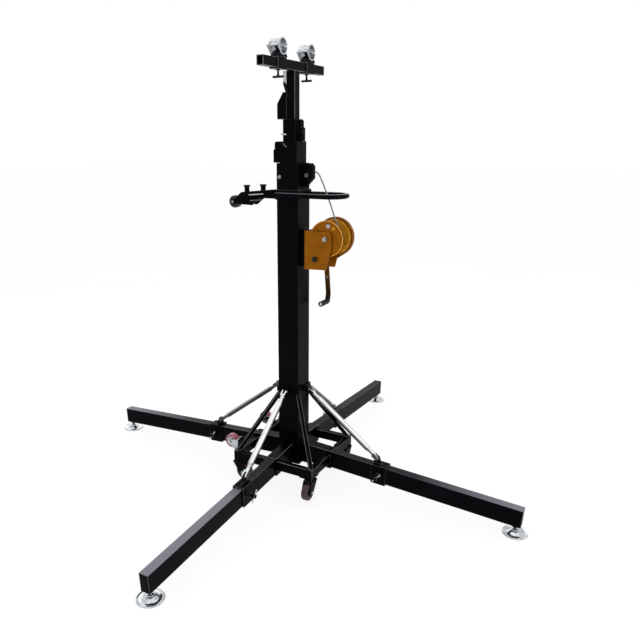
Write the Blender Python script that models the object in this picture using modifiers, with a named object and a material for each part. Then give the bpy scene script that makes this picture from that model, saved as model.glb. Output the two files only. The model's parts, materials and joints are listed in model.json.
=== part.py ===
"""Crank lighting stand: a four-tube telescopic mast on four outrigger legs, raised by a hand winch.

Metres, +Z up. The origin is on the ground under the mast axis. The right leg and the winch are on +X, the
front leg is on -Y. Each leg, with its collar, lock screw and foot, hangs on an empty along its sloping line.
"""

import math

import bmesh
import bpy
from mathutils import Matrix, Vector

# Clearances
GAP = 0.0003
TUBE_FIT = 0.001
LEG_FIT = 0.0008
PIN_FIT = 0.0005
GROOVE_FIT = 0.0008
WELD = 1e-6
FLAT_ANGLE = math.radians(0.05)

# Mast tubes, lowered
MAST_SIDE = 0.100
TUBE_STEP = 0.020
TUBE_WALL = 0.004
MAST_FOOT = 0.0903
MAST_LENGTH = 1.324
HEAD_RISE = 0.0855
TOP_TUBE_RISE = 0.183
TUBE_LIFT = 0.006
SHOE_HEIGHT = 0.050
HEAD_COLLAR = 0.025

# Sheaves and their cheeks
ROPE_DIAMETER = 0.005
SHEAVE_BENDS = (0.026, 0.026, 0.0125)
SHEAVE_WIDTH = 0.010
SHEAVE_FLANGE = 0.0018
SHEAVE_DROP = 0.048
CHEEK = 0.005
CHEEK_HEIGHT = 0.096
CHEEK_EDGE = 0.0025
CHEEK_STEP = 0.006
AXLE_RADIUS = 0.005
AXLE_END = 0.003

# Base frame
FRAME_SIDE = 0.400
FRAME_BAR = 0.024
FRAME_HEIGHT = 0.042
FRAME_BOTTOM = 0.1105
FRAME_WALL = 0.003
VENT_RADIUS = 0.004
SEAT_SIDE = 0.190
SEAT_MIDDLE = 0.115
SEAT_ARM = 0.049
SEAT_THICK = 0.010
SOCKET_WALL = 0.004
SOCKET_LIP = 0.004
STRUT_SIDE = 0.018
STRUT_TOP = 0.410
CORNER_PLATE = 0.062
CORNER_PLATE_THICK = 0.005

# Legs
LEG_WIDTH = 0.040
LEG_HEIGHT = 0.075
LEG_WALL = 0.003
LEG_AXIS_HEIGHT = 0.1365
LEG_SLOPE = math.radians(3.4)
LEG_OVERHANG = 0.026
LEG_MAST_GAP = 0.008

# Feet
FOOT_REACH = 1.004
FOOT_RADIUS = 0.050
FOOT_RIM = 0.007
FOOT_DISH = 0.014
FOOT_STEM = 0.008
FOOT_STEM_TOP = 0.084
FOOT_NUT = 0.015
FOOT_NUT_HEIGHT = 0.008

# Leg collars, lock screws and braces
COLLAR_REACH = 0.431
COLLAR_LENGTH = 0.067
COLLAR_WALL = 0.0052
LUG_THICK = 0.008
LUG_ROUND = 0.013
LUG_HEEL = 0.012
BRACE_TOP_OUT = 0.031
BRACE_TOP_Z = 0.4325
BRACE_FOOT_BACK = 0.017
BRACE_FOOT_RISE = 0.0661
BRACE_RADIUS = 0.013
BRACE_NECK = 0.009
BRACE_NECK_LENGTH = 0.030
BRACE_PIN = 0.004
FORK_WIDTH = 0.022
FORK_ROUND = 0.011
FORK_LENGTH = 0.026
FORK_ROOM = 0.004
BAND_HEIGHT = 0.026
BAND_WALL = 0.006
SCREW_RADIUS = 0.005
SCREW_LENGTH = 0.042
SCREW_HEAD = 0.009
SCREW_HEAD_LENGTH = 0.012
BOSS_RADIUS = 0.011
BOSS_LENGTH = 0.010
TOMMY_RADIUS = 0.003
TOMMY_LENGTH = 0.058
TOMMY_ANGLE = math.radians(50)

# Corner casters
CASTER_INSET = 0.019
CASTER_TRAIL = 0.024
CASTER_CLEAR = 0.015
WHEEL_RADIUS = 0.0375
WHEEL_WIDTH = 0.028
WHEEL_AXLE = 0.004
SWIVEL_RADIUS = 0.026
CASTER_AXLE_ROUND = 0.018
FORK_PLATE = 0.004

# Side and top transport wheels
SIDE_WHEEL_Y = 0.148
SIDE_WHEEL_OUT = 0.043
SIDE_WHEEL_Z = 0.170
SIDE_WHEEL_RADIUS = 0.032
SIDE_PLATE_TOP = 0.190
TOP_WHEEL_REACH = 0.290
TOP_WHEEL_Z = 1.247
TOP_WHEEL_RADIUS = 0.027
TOP_WHEEL_WIDTH = 0.030

# Tow handle and transport arm
TOW_BOTTOM = 1.268
TOW_HEIGHT = 0.040
TOW_WALL = 0.006
LOOP_TUBE = 0.010
LOOP_HEIGHT = 1.2875
LOOP_REACH = 0.240
ARM_PLATE = 0.005
ARM_DEEP = 0.032
ARM_FALL = 0.018
ARM_NOSE = 0.008
ARM_HEEL = 0.055
ARM_WHEEL_GAP = 0.017
POST_RADIUS = 0.011
POST_HEIGHT = 0.021
POST_INSET = 0.016
POST_SPACING = 0.083

# Head
BAR_LENGTH = 0.490
BAR_WIDTH = 0.030
BAR_HEIGHT = 0.036
BAR_WALL = 0.003
CARRIAGE_PLACE = 0.115
CARRIAGE_LENGTH = 0.066
CARRIAGE_WALL = 0.004
CARRIAGE_FIT = 0.0004
COUPLER_BORE = 0.0255
COUPLER_WALL = 0.006
COUPLER_LENGTH = 0.048
COUPLER_SPLIT = 0.003
COUPLER_PAD = 0.005
COUPLER_KNUCKLE = 0.006
COUPLER_PIN = 0.003
HANDLE_LENGTH = 0.046
HANDLE_RADIUS = 0.0045
HANDLE_STEM = 0.004
HANDLE_DROP = 0.022
STOP_HEIGHT = 0.104
STOP_DEPTH = 0.046
STOP_WIDTH = 0.030
STRAP_WIDTH = 0.012
STRAP_THICK = 0.003

# Winch
WINCH_STANDOFF = 0.028
CHANNEL_WIDTH = 0.070
CHANNEL_WALL = 0.004
DRUM_X = 0.174
DRUM_Z = 1.117
DRUM_CORE = 0.041
DRUM_FLANGE = 0.073
DRUM_PLATE = 0.003
DRUM_AXLE = 0.008
WINCH_INSIDE = 0.082
WINCH_PLATE = 0.004
WINCH_BOTTOM = 0.986
WINCH_TOP = 1.146
DRUM_SIDE_GAP = 0.005
GEAR_TEETH = 54
PINION_TEETH = 15
GEAR_MODULE = 0.0027855
GEAR_FACE = 0.008
TOOTH_ADDENDUM = 0.8
TOOTH_DEDENDUM = 1.15
TOOTH_TIP_HALF = 0.30
TOOTH_ROOT_HALF = 0.85
PINION_ANGLE = math.radians(242.2)
COVER_WALL = 0.002
COVER_ROOM = 0.0015
PINION_ROOM = 0.009
CRANK_LENGTH = 0.221
CRANK_HANG = math.radians(7.6)
CRANK_OFFSET = 0.062
CRANK_STRAIGHT = 0.034
CRANK_WIDTH = 0.022
CRANK_THICK = 0.006
GRIP_RADIUS = 0.012
GRIP_LENGTH = 0.064
GRIP_PIN = 0.005
WINDING_LOOPS = 9
WINDING_PITCH = 0.0064
LOOP_POINTS = 18
ROPE_INLET = 1.330
ROPE_LEAVES_SHEAVE = math.radians(60)
ROPE_SLACK = [(0.116, 1.374), (0.137, 1.338), (0.155, 1.298), (0.171, 1.258), (0.192, 1.204), (0.2105, 1.160)]
ROPE_TOUCH = math.radians(21)
ROPE_WRAP = math.radians(70)
ROPE_STEP = 0.010
LAYER_FIT = 0.001

# Sides of the stand, counted anticlockwise from +X, the side of each collar that carries its lock screw, and
# the turn of each caster from trailing to the front
SIDES = {"right": 0, "rear": 90, "left": 180, "front": 270}
SCREW_SIDE = {"right": -1, "rear": 1, "left": 1, "front": 1}
CORNERS = {"front_right": (1, -1), "rear_right": (1, 1), "rear_left": (-1, 1), "front_left": (-1, -1)}
CASTER_HEADING = {"front_right": 0, "rear_right": 0, "rear_left": 0, "front_left": 90}

ROUND = 18
SMALL_ROUND = 12
NOSE_STEPS = 6

# Values worked out from the driving dimensions
MAST_HALF = MAST_SIDE / 2
MAST_TOP = MAST_FOOT + MAST_LENGTH
FRAME_HALF = FRAME_SIDE / 2
FRAME_TOP = FRAME_BOTTOM + FRAME_HEIGHT
LEG_END = FOOT_REACH + LEG_OVERHANG
BRACE_TOP = (MAST_HALF + BRACE_TOP_OUT, BRACE_TOP_Z)
BRACE_FOOT_REACH = COLLAR_REACH - BRACE_FOOT_BACK
BRACE_FOOT_Z = LEG_AXIS_HEIGHT - BRACE_FOOT_REACH * math.tan(LEG_SLOPE) + BRACE_FOOT_RISE
BRACE_BOTTOM = (BRACE_FOOT_REACH, BRACE_FOOT_Z)
ARM_BRIDGE_END = TOP_WHEEL_REACH - TOP_WHEEL_RADIUS - ARM_WHEEL_GAP
POST_PLACES = (ARM_BRIDGE_END - POST_INSET - POST_SPACING, ARM_BRIDGE_END - POST_INSET)
ROPE_RADIUS = ROPE_DIAMETER / 2
TOP_TUBE_SIDE = MAST_SIDE - 3 * TUBE_STEP
BAR_BOTTOM = MAST_TOP + 2 * HEAD_RISE + TOP_TUBE_RISE + GAP
BAR_MIDDLE = BAR_BOTTOM + BAR_HEIGHT / 2
TUBE_TOPS = [MAST_TOP, MAST_TOP + HEAD_RISE, MAST_TOP + 2 * HEAD_RISE, BAR_BOTTOM - GAP]
COUPLER_OUTER = COUPLER_BORE + COUPLER_WALL
CARRIAGE_TOP = BAR_MIDDLE + BAR_HEIGHT / 2 + CARRIAGE_FIT + CARRIAGE_WALL
COUPLER_Z = CARRIAGE_TOP + GAP + COUPLER_PAD + COUPLER_OUTER
PLATE_OUT = WINCH_INSIDE / 2 + WINCH_PLATE
GEAR_START = PLATE_OUT + 2 * GAP + 0.002
GEAR_PITCH = GEAR_MODULE * GEAR_TEETH / 2
PINION_PITCH = GEAR_MODULE * PINION_TEETH / 2
COVER_RADIUS = GEAR_PITCH + GEAR_MODULE + COVER_ROOM
PINION_COVER = PINION_PITCH + GEAR_MODULE + PINION_ROOM
COVER_OUT = GEAR_START + GEAR_FACE + 0.004 + COVER_WALL
CENTRES = GEAR_PITCH + PINION_PITCH
PINION_X = DRUM_X + CENTRES * math.cos(PINION_ANGLE)
PINION_Z = DRUM_Z + CENTRES * math.sin(PINION_ANGLE)
WINDING_RADIUS = (DRUM_CORE + GAP + ROPE_RADIUS) / math.cos(math.pi / LOOP_POINTS)
ROPE_TOP_LAYER = WINDING_RADIUS + ROPE_DIAMETER + LAYER_FIT


def clear_scene():
    for old in list(bpy.data.objects):
        bpy.data.objects.remove(old, do_unlink=True)


def new_collection(name):
    made = bpy.data.collections.new(name)
    bpy.context.scene.collection.children.link(made)
    return made


def material(name, colour, roughness, metallic):
    made = bpy.data.materials.new(name)
    made.use_nodes = True
    shader = made.node_tree.nodes["Principled BSDF"]
    shader.inputs["Base Color"].default_value = (*colour, 1)
    shader.inputs["Roughness"].default_value = roughness
    shader.inputs["Metallic"].default_value = metallic
    return made


def mesh_object(bm):
    """A working object with this bmesh, at the origin."""
    data = bpy.data.meshes.new("work")
    bm.to_mesh(data)
    bm.free()
    obj = bpy.data.objects.new("work", data)
    WORK.objects.link(obj)
    return obj


def bake(obj, face_out=False):
    """A working object with the evaluated mesh of another, which is used up."""
    bpy.context.view_layer.update()
    graph = bpy.context.evaluated_depsgraph_get()
    data = bpy.data.meshes.new_from_object(obj.evaluated_get(graph))
    bm = bmesh.new()
    bm.from_mesh(data)
    bmesh.ops.remove_doubles(bm, verts=bm.verts, dist=WELD)
    if face_out:
        bmesh.ops.recalc_face_normals(bm, faces=bm.faces)
        bmesh.ops.dissolve_limit(bm, angle_limit=FLAT_ANGLE, verts=bm.verts, edges=bm.edges)
    bpy.data.objects.remove(obj, do_unlink=True)
    return mesh_object(bm)


def combine(target, tools, operation):
    """The target joined with, or cut by, each tool; the tools are used up."""
    for tool in tools:
        modifier = target.modifiers.new(operation.lower(), "BOOLEAN")
        modifier.operation = operation
        modifier.object = tool
    made = bake(target)
    for tool in tools:
        bpy.data.objects.remove(tool, do_unlink=True)
    return made


def join(target, *tools):
    return combine(target, tools, "UNION")


def cut(target, *tools):
    return combine(target, tools, "DIFFERENCE")


def block(low, high, turn=None):
    """A box between two corners, turned by a matrix."""
    low, high = Vector(low), Vector(high)
    bm = bmesh.new()
    place = Matrix.Translation((low + high) / 2) @ Matrix.Diagonal((*(high - low), 1))
    bmesh.ops.create_cube(bm, size=1, matrix=(turn or Matrix()) @ place)
    return mesh_object(bm)


def rod(start, end, radius, sides=SMALL_ROUND, end_radius=None):
    """A round bar, or a cone, between two points."""
    start, end = Vector(start), Vector(end)
    along = end - start
    place = Matrix.Translation((start + end) / 2) @ along.to_track_quat("Z", "Y").to_matrix().to_4x4()
    bm = bmesh.new()
    bmesh.ops.create_cone(
        bm,
        cap_ends=True,
        segments=sides,
        radius1=radius,
        radius2=radius if end_radius is None else end_radius,
        depth=along.length,
        matrix=place,
    )
    return mesh_object(bm)


def bar(start, end, width, sideways):
    """A square bar between two points, with two of its faces square to a direction."""
    start, end = Vector(start), Vector(end)
    along = (end - start).normalized()
    side = Vector(sideways).normalized()
    turn = Matrix((side, along.cross(side), along)).transposed().to_4x4()
    turn.translation = start
    half = width / 2
    return block((-half, -half, 0), (half, half, (end - start).length), turn)


def curve_mesh(data):
    """The mesh of a curve, with its caps welded."""
    obj = bpy.data.objects.new("work", data)
    WORK.objects.link(obj)
    made = bake(obj, face_out=True)
    bpy.data.curves.remove(data)
    return made


def plate(outline, low, high, axis="Y"):
    """A flat plate, thick from low to high, with (x, z) points for axis Y or (y, z) points for axis X."""
    data = bpy.data.curves.new("outline", "CURVE")
    data.dimensions = "2D"
    data.fill_mode = "BOTH"
    data.extrude = (high - low) / 2
    spline = data.splines.new("POLY")
    spline.points.add(len(outline) - 1)
    for point, (across, up) in zip(spline.points, outline):
        point.co = (across, up, 0, 1)
    spline.use_cyclic_u = True
    made = curve_mesh(data)
    middle = (low + high) / 2
    if axis == "Y":
        turn = Matrix(((1, 0, 0, 0), (0, 0, -1, middle), (0, 1, 0, 0), (0, 0, 0, 1)))
    else:
        turn = Matrix(((0, 0, 1, middle), (1, 0, 0, 0), (0, 1, 0, 0), (0, 0, 0, 1)))
    made.data.transform(turn)
    return made


def arc(centre, radius, first, last, steps):
    """Points on an arc in the plane of an outline, angles in radians."""
    turns = [first + (last - first) * i / steps for i in range(steps + 1)]
    return [(centre[0] + radius * math.cos(t), centre[1] + radius * math.sin(t)) for t in turns]


def pipe(points, radius, resolution=2):
    """A round tube along points."""
    data = bpy.data.curves.new("route", "CURVE")
    data.dimensions = "3D"
    data.bevel_depth = radius
    data.bevel_resolution = resolution
    data.use_fill_caps = True
    spline = data.splines.new("POLY")
    spline.points.add(len(points) - 1)
    for point, place in zip(spline.points, points):
        point.co = (*place, 1)
    return curve_mesh(data)


def turned(profile, sides=ROUND, closed=False):
    """A profile of (radius, height) points, top to bottom on its outer side, turned about Z."""
    data = bpy.data.meshes.new("profile")
    count = len(profile)
    edges = [(i, (i + 1) % count) for i in range(count if closed else count - 1)]
    data.from_pydata([(radius, 0, height) for radius, height in profile], edges, [])
    obj = bpy.data.objects.new("work", data)
    WORK.objects.link(obj)
    screw = obj.modifiers.new("turn", "SCREW")
    screw.angle = math.tau
    screw.steps = screw.render_steps = sides
    screw.use_merge_vertices = True
    screw.merge_threshold = 1e-5
    return bake(obj, face_out=True)


def aimed(obj, axis):
    """Turns a piece made about Z so that its +Z lies along an axis."""
    obj.data.transform(Vector(axis).to_track_quat("Z", "Y").to_matrix().to_4x4())
    return obj


def empty(name, location=(0, 0, 0), rotation=(0, 0, 0)):
    made = bpy.data.objects.new(name, None)
    made.location = location
    made.rotation_euler = rotation
    STAND.objects.link(made)
    return made


def part(name, obj, finish, location=(0, 0, 0), parent=None, rotation=(0, 0, 0)):
    """Names a finished piece, gives it its material and hangs it in place."""
    WORK.objects.unlink(obj)
    STAND.objects.link(obj)
    obj.name = obj.data.name = name
    obj.data.materials.clear()
    obj.data.materials.append(finish)
    obj.data.shade_smooth()
    obj.data.set_sharp_from_angle(angle=math.radians(40))
    obj.location = location
    obj.rotation_euler = rotation
    obj.parent = parent or ROOT
    return obj


def tube_side(stage):
    return MAST_SIDE - stage * TUBE_STEP


def quarter_turn(side):
    return Matrix.Rotation(math.radians(SIDES[side]), 4, "Z")


def leg_line(side):
    """From the leg's own frame, with X outwards along the sloping leg, to the stand's."""
    tilt = Matrix.Rotation(LEG_SLOPE, 4, "Y")
    return quarter_turn(side) @ Matrix.Translation((0, 0, LEG_AXIS_HEIGHT)) @ tilt


def on_leg(reach, height):
    """A point of the leg's upright plane, in the leg's own frame."""
    rise = height - LEG_AXIS_HEIGHT
    along = reach * math.cos(LEG_SLOPE) - rise * math.sin(LEG_SLOPE)
    return along, reach * math.sin(LEG_SLOPE) + rise * math.cos(LEG_SLOPE)


def leg_box(first, last, wide, high, turn=None):
    """A box round the leg's line."""
    return block((first, -wide / 2, -high / 2), (last, wide / 2, high / 2), turn)


def sheave_cheeks(stage, sign):
    """Two cheeks and an axle on the +X or -X face of a tube, with the slot that its sheave turns in."""
    face = tube_side(stage) / 2
    top = TUBE_TOPS[stage]
    centre_x, centre_z = sheave_place(stage)
    inner = SHEAVE_WIDTH / 2 + TUBE_FIT
    outer = inner + CHEEK
    out = centre_x + SHEAVE_BENDS[stage] + CHEEK_EDGE
    weld, crest = face - TUBE_WALL / 2, top - GAP
    if stage == 0:
        low = top - CHEEK_HEIGHT
        edge = [(face + 0.012, low), (out, low + 0.38 * CHEEK_HEIGHT)]
        edge += [(out, top - 0.012), (out - 0.010, crest)]
    else:
        low = TUBE_TOPS[stage - 1] + GAP
        shoulder, upper = low + 0.6 * (top - low), out - CHEEK_STEP
        edge = [(out, low), (out, shoulder), (upper, shoulder + 0.003)]
        edge += [(upper, top - 0.008), (upper - 0.006, crest)]
    outline = [(sign * x, z) for x, z in [(weld, low), *edge, (weld, crest)]]
    cheeks = [plate(outline, inner, outer), plate(outline, -outer, -inner)]
    axle_x, end = sign * centre_x, outer + AXLE_END
    axle = rod((axle_x, -end, centre_z), (axle_x, end, centre_z), AXLE_RADIUS)
    room = SHEAVE_BENDS[stage] + SHEAVE_FLANGE + TUBE_FIT
    near, far = sorted((sign * tube_side(stage + 1) / 2, sign * (face + 0.001)))
    half = inner - GAP
    slot = block((near, -half, centre_z - room), (far, half, centre_z + room))
    return cheeks + [axle], slot


def sheave_place(stage):
    """Where the sheave on a tube turns, as (distance from the mast axis, height)."""
    rope_line = tube_side(stage) / 2 - TUBE_WALL - GAP - ROPE_RADIUS - 0.0002
    return rope_line + SHEAVE_BENDS[stage], TUBE_TOPS[stage] - SHEAVE_DROP


def mast_tube(stage):
    """A square tube whose bore narrows to a guide for the next tube at its head."""
    half = tube_side(stage) / 2
    bottom = MAST_FOOT + stage * TUBE_LIFT
    top = TUBE_TOPS[stage]
    body = block((-half, -half, bottom), (half, half, top))
    bore = half - TUBE_WALL
    if stage == 3:
        return cut(body, block((-bore, -bore, bottom - 0.01), (bore, bore, top - TUBE_WALL)))
    guide = tube_side(stage + 1) / 2 + TUBE_FIT
    wide_bore = block((-bore, -bore, bottom - 0.01), (bore, bore, top - HEAD_COLLAR))
    return cut(body, wide_bore, block((-guide, -guide, top - 0.1), (guide, guide, top + 0.01)))


def guide_shoe(stage):
    """The wider foot of an inner tube, which runs in the bore of the tube round it."""
    half = tube_side(stage - 1) / 2 - TUBE_WALL - TUBE_FIT
    bore = tube_side(stage) / 2 - TUBE_WALL
    bottom = MAST_FOOT + stage * TUBE_LIFT
    shoe = block((-half, -half, bottom), (half, half, bottom + SHOE_HEIGHT))
    return cut(shoe, block((-bore, -bore, bottom - 0.01), (bore, bore, bottom + SHOE_HEIGHT + 0.01)))


def mast_lug(side):
    """A round-nosed tongue with a pin hole for the brace on one side of the mast."""
    out, up = BRACE_TOP
    nose = arc(BRACE_TOP, LUG_ROUND, math.radians(-90), math.radians(90), NOSE_STEPS)
    outline = [(MAST_HALF, up - LUG_ROUND)] + nose + [(MAST_HALF, up + LUG_ROUND)]
    tongue = plate(outline, -LUG_THICK / 2, LUG_THICK / 2)
    lug = cut(tongue, rod((out, -LUG_THICK, up), (out, LUG_THICK, up), BRACE_PIN + PIN_FIT))
    lug.data.transform(quarter_turn(side))
    return lug


def outer_mast():
    mast = mast_tube(0)
    low, high = BRACE_TOP_Z - BAND_HEIGHT / 2, BRACE_TOP_Z + BAND_HEIGHT / 2
    half = MAST_HALF + BAND_WALL
    inside = MAST_HALF - TUBE_WALL / 2
    band = cut(
        block((-half, -half, low), (half, half, high)),
        block((-inside, -inside, low - 0.01), (inside, inside, high + 0.01)),
    )
    lugs = [mast_lug(side) for side in SIDES]
    width = CHANNEL_WIDTH / 2
    inner = width - CHANNEL_WALL
    out = MAST_HALF + WINCH_STANDOFF
    channel = cut(
        block((MAST_HALF - 0.001, -width, WINCH_BOTTOM + 0.01), (out, width, WINCH_TOP - 0.01)),
        block((MAST_HALF, -inner, WINCH_BOTTOM), (out - CHANNEL_WALL, inner, WINCH_TOP)),
    )
    cheeks, slot = sheave_cheeks(0, 1)
    return cut(join(mast, band, *lugs, channel, *cheeks), slot)


def inner_tube(stage, sign):
    cheeks, slot = sheave_cheeks(stage, sign)
    return cut(join(mast_tube(stage), guide_shoe(stage), *cheeks), slot)


def top_tube():
    """The fourth tube, with the stop block that rests on the third tube's head."""
    half = TOP_TUBE_SIDE / 2
    low = TUBE_TOPS[2] + GAP
    high = low + STOP_HEIGHT
    out = half + STOP_DEPTH
    outline = [(-half + 0.001, low), (-half + 0.001, high), (-half - 0.4 * STOP_DEPTH, high)]
    outline += [(-out, low + 0.58 * STOP_HEIGHT), (-out, low)]
    stop = plate(outline, -STOP_WIDTH / 2, STOP_WIDTH / 2)
    return join(mast_tube(3), guide_shoe(3), stop)


def sheave(bend):
    """A grooved pulley about Z, bored for its axle, with the radius that its rope bends to."""
    rim = bend + SHEAVE_FLANGE
    groove = bend - ROPE_RADIUS - GROOVE_FIT
    half = SHEAVE_WIDTH / 2
    bore = AXLE_RADIUS + PIN_FIT
    lip = half - 0.0012
    profile = [(bore, half), (rim, half), (rim, lip), (groove, 0.0022), (groove, -0.0022), (rim, -lip)]
    return turned(profile + [(rim, -half), (bore, -half)], closed=True)


def seat_plates():
    """The plate that the mast stands on, and two strips across it under the leg sockets."""
    top = MAST_FOOT - GAP
    low = top - SEAT_THICK
    reach, middle, arm = SEAT_SIDE / 2, SEAT_MIDDLE / 2, SEAT_ARM / 2
    return [
        block((-middle, -middle, low), (middle, middle, top)),
        block((-reach, -arm, low + GAP), (reach, arm, top - GAP)),
        block((-arm, -reach, low + 2 * GAP), (arm, reach, top - 2 * GAP)),
    ]


def base_frame():
    """The welded base: a vented square of tube, four leg sockets, the mast seat, struts and caster plates."""
    half, inner = FRAME_HALF, FRAME_HALF - FRAME_BAR
    wall = FRAME_WALL
    ring = cut(
        block((-half, -half, FRAME_BOTTOM), (half, half, FRAME_TOP)),
        block((-inner, -inner, FRAME_BOTTOM - 0.01), (inner, inner, FRAME_TOP + 0.01)),
    )
    a, b = half - wall, inner + wall
    hollow = cut(
        block((-a, -a, FRAME_BOTTOM + wall), (a, a, FRAME_TOP - wall)),
        block((-b, -b, FRAME_BOTTOM), (b, b, FRAME_TOP)),
    )
    socket_wide = LEG_WIDTH + 2 * (LEG_FIT + SOCKET_WALL)
    socket_high = LEG_HEIGHT + 2 * (LEG_FIT + SOCKET_WALL)
    start, end = MAST_HALF + 0.5 * LEG_MAST_GAP, FRAME_HALF + SOCKET_LIP
    sockets = [leg_box(start, end, socket_wide, socket_high, leg_line(side)) for side in SIDES]
    bores = [
        leg_box(0.9 * start, 1.1 * end, LEG_WIDTH + 2 * LEG_FIT, LEG_HEIGHT + 2 * LEG_FIT, leg_line(side))
        for side in SIDES
    ]
    struts, plates, vents = [], [], []
    for along, across in CORNERS.values():
        diagonal = Vector((along, across, 0))
        corner = half - FRAME_BAR / 2
        top = diagonal * (MAST_HALF - 0.004) + Vector((0, 0, STRUT_TOP))
        foot = diagonal * corner + Vector((0, 0, FRAME_TOP - 0.006))
        struts.append(bar(top, foot, STRUT_SIDE, diagonal.cross((0, 0, 1))))
        inside = half - CORNER_PLATE
        low_x, high_x = sorted((along * inside, along * half))
        low_y, high_y = sorted((across * inside, across * half))
        plate_low, plate_high = FRAME_BOTTOM - CORNER_PLATE_THICK, FRAME_BOTTOM + wall / 2
        plates.append(block((low_x, low_y, plate_low), (high_x, high_y, plate_high)))
        vent = diagonal * corner - Vector((along * CORNER_PLATE, 0, 0))
        vent_low, vent_high = FRAME_BOTTOM - wall, FRAME_BOTTOM + 2 * wall
        vents.append(rod((*vent.xy, vent_low), (*vent.xy, vent_high), VENT_RADIUS, 8))
    clear = MAST_HALF + GAP
    mast_room = block((-clear, -clear, MAST_FOOT - GAP / 2), (clear, clear, MAST_TOP))
    ring = cut(ring, join(hollow, *vents))
    return cut(join(ring, *sockets, *seat_plates(), *struts, *plates), *bores, mast_room)


def leg():
    """A rectangular tube, closed at its tip, with the nut and hole of its foot screw, in the leg's frame."""
    first = MAST_HALF + LEG_MAST_GAP
    tube = leg_box(first, LEG_END, LEG_WIDTH, LEG_HEIGHT)
    hollow = leg_box(first - 0.01, LEG_END - LEG_WALL, LEG_WIDTH - 2 * LEG_WALL, LEG_HEIGHT - 2 * LEG_WALL)
    under_x, under_z = foot_axis_point(-LEG_HEIGHT / 2)
    upright = Vector((-math.sin(LEG_SLOPE), 0, math.cos(LEG_SLOPE)))
    under = Vector((under_x, 0, under_z))
    nut = rod(under - FOOT_NUT_HEIGHT * upright, under + 0.5 * LEG_WALL * upright, FOOT_NUT, 6)
    hole = rod(under - 0.02 * upright, under + 0.02 * upright, FOOT_STEM + PIN_FIT)
    return cut(join(cut(tube, hollow), nut), hole)


def foot_axis_point(height):
    """Where the upright foot screw crosses a height of the leg's frame."""
    along, up = on_leg(FOOT_REACH, 0)
    return along - (height - up) * math.tan(LEG_SLOPE), height


def foot():
    """A dished plate on a screw, about Z, flat on the ground."""
    profile = [
        (0, FOOT_STEM_TOP),
        (FOOT_STEM - 0.0015, FOOT_STEM_TOP),
        (FOOT_STEM, FOOT_STEM_TOP - 0.0015),
        (FOOT_STEM, FOOT_DISH + 0.006),
        (FOOT_STEM + 0.005, FOOT_DISH + 0.004),
        (0.36 * FOOT_RADIUS, FOOT_DISH),
        (0.62 * FOOT_RADIUS, 0.62 * FOOT_RIM),
        (0.86 * FOOT_RADIUS, 0.5 * FOOT_RIM),
        (0.95 * FOOT_RADIUS, FOOT_RIM),
        (FOOT_RADIUS, 0.8 * FOOT_RIM),
        (FOOT_RADIUS, 0),
        (0, 0),
    ]
    return turned(profile)


def collar(screw_side):
    """The sleeve that the brace holds the leg by, in the leg's frame."""
    half = COLLAR_LENGTH / 2
    high = LEG_HEIGHT + 2 * (LEG_FIT + COLLAR_WALL)
    wide = LEG_WIDTH + 2 * (LEG_FIT + COLLAR_WALL)
    first, last = COLLAR_REACH - half, COLLAR_REACH + half
    sleeve = leg_box(first, last, wide, high)
    pivot = on_leg(*BRACE_BOTTOM)
    lug_root = high / 2 - COLLAR_WALL / 2
    nose = arc(pivot, LUG_ROUND, 0, math.pi, NOSE_STEPS)
    outline = [(pivot[0] + LUG_ROUND + LUG_HEEL, lug_root)] + nose + [(pivot[0] - LUG_ROUND, lug_root)]
    lug = plate(outline, -LUG_THICK / 2, LUG_THICK / 2)
    boss_end = screw_side * (wide / 2 + BOSS_LENGTH)
    boss = rod((COLLAR_REACH, screw_side * (wide / 2 - 0.002), 0), (COLLAR_REACH, boss_end, 0), BOSS_RADIUS)
    inside = leg_box(first - 0.01, last + 0.01, LEG_WIDTH + 2 * LEG_FIT, LEG_HEIGHT + 2 * LEG_FIT)
    pin_hole = rod((pivot[0], -LUG_THICK, pivot[1]), (pivot[0], LUG_THICK, pivot[1]), BRACE_PIN + PIN_FIT)
    screw_hole = rod((COLLAR_REACH, 0, 0), (COLLAR_REACH, 1.2 * boss_end, 0), SCREW_RADIUS + PIN_FIT)
    return cut(join(sleeve, lug, boss), inside, pin_hole, screw_hole)


def lock_screw():
    """A screw about Z from its tip, with a tommy bar through its head."""
    neck = SCREW_LENGTH - SCREW_HEAD_LENGTH
    middle = SCREW_LENGTH - SCREW_HEAD_LENGTH / 2
    shank = rod((0, 0, 0), (0, 0, neck + 0.001), SCREW_RADIUS)
    head = rod((0, 0, neck), (0, 0, SCREW_LENGTH), SCREW_HEAD)
    along = TOMMY_LENGTH / 2 * Vector((math.cos(TOMMY_ANGLE), math.sin(TOMMY_ANGLE), 0))
    centre = Vector((0, 0, middle))
    tommy = rod(centre - along, centre + along, TOMMY_RADIUS, 8)
    return join(shank, head, tommy)


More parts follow.
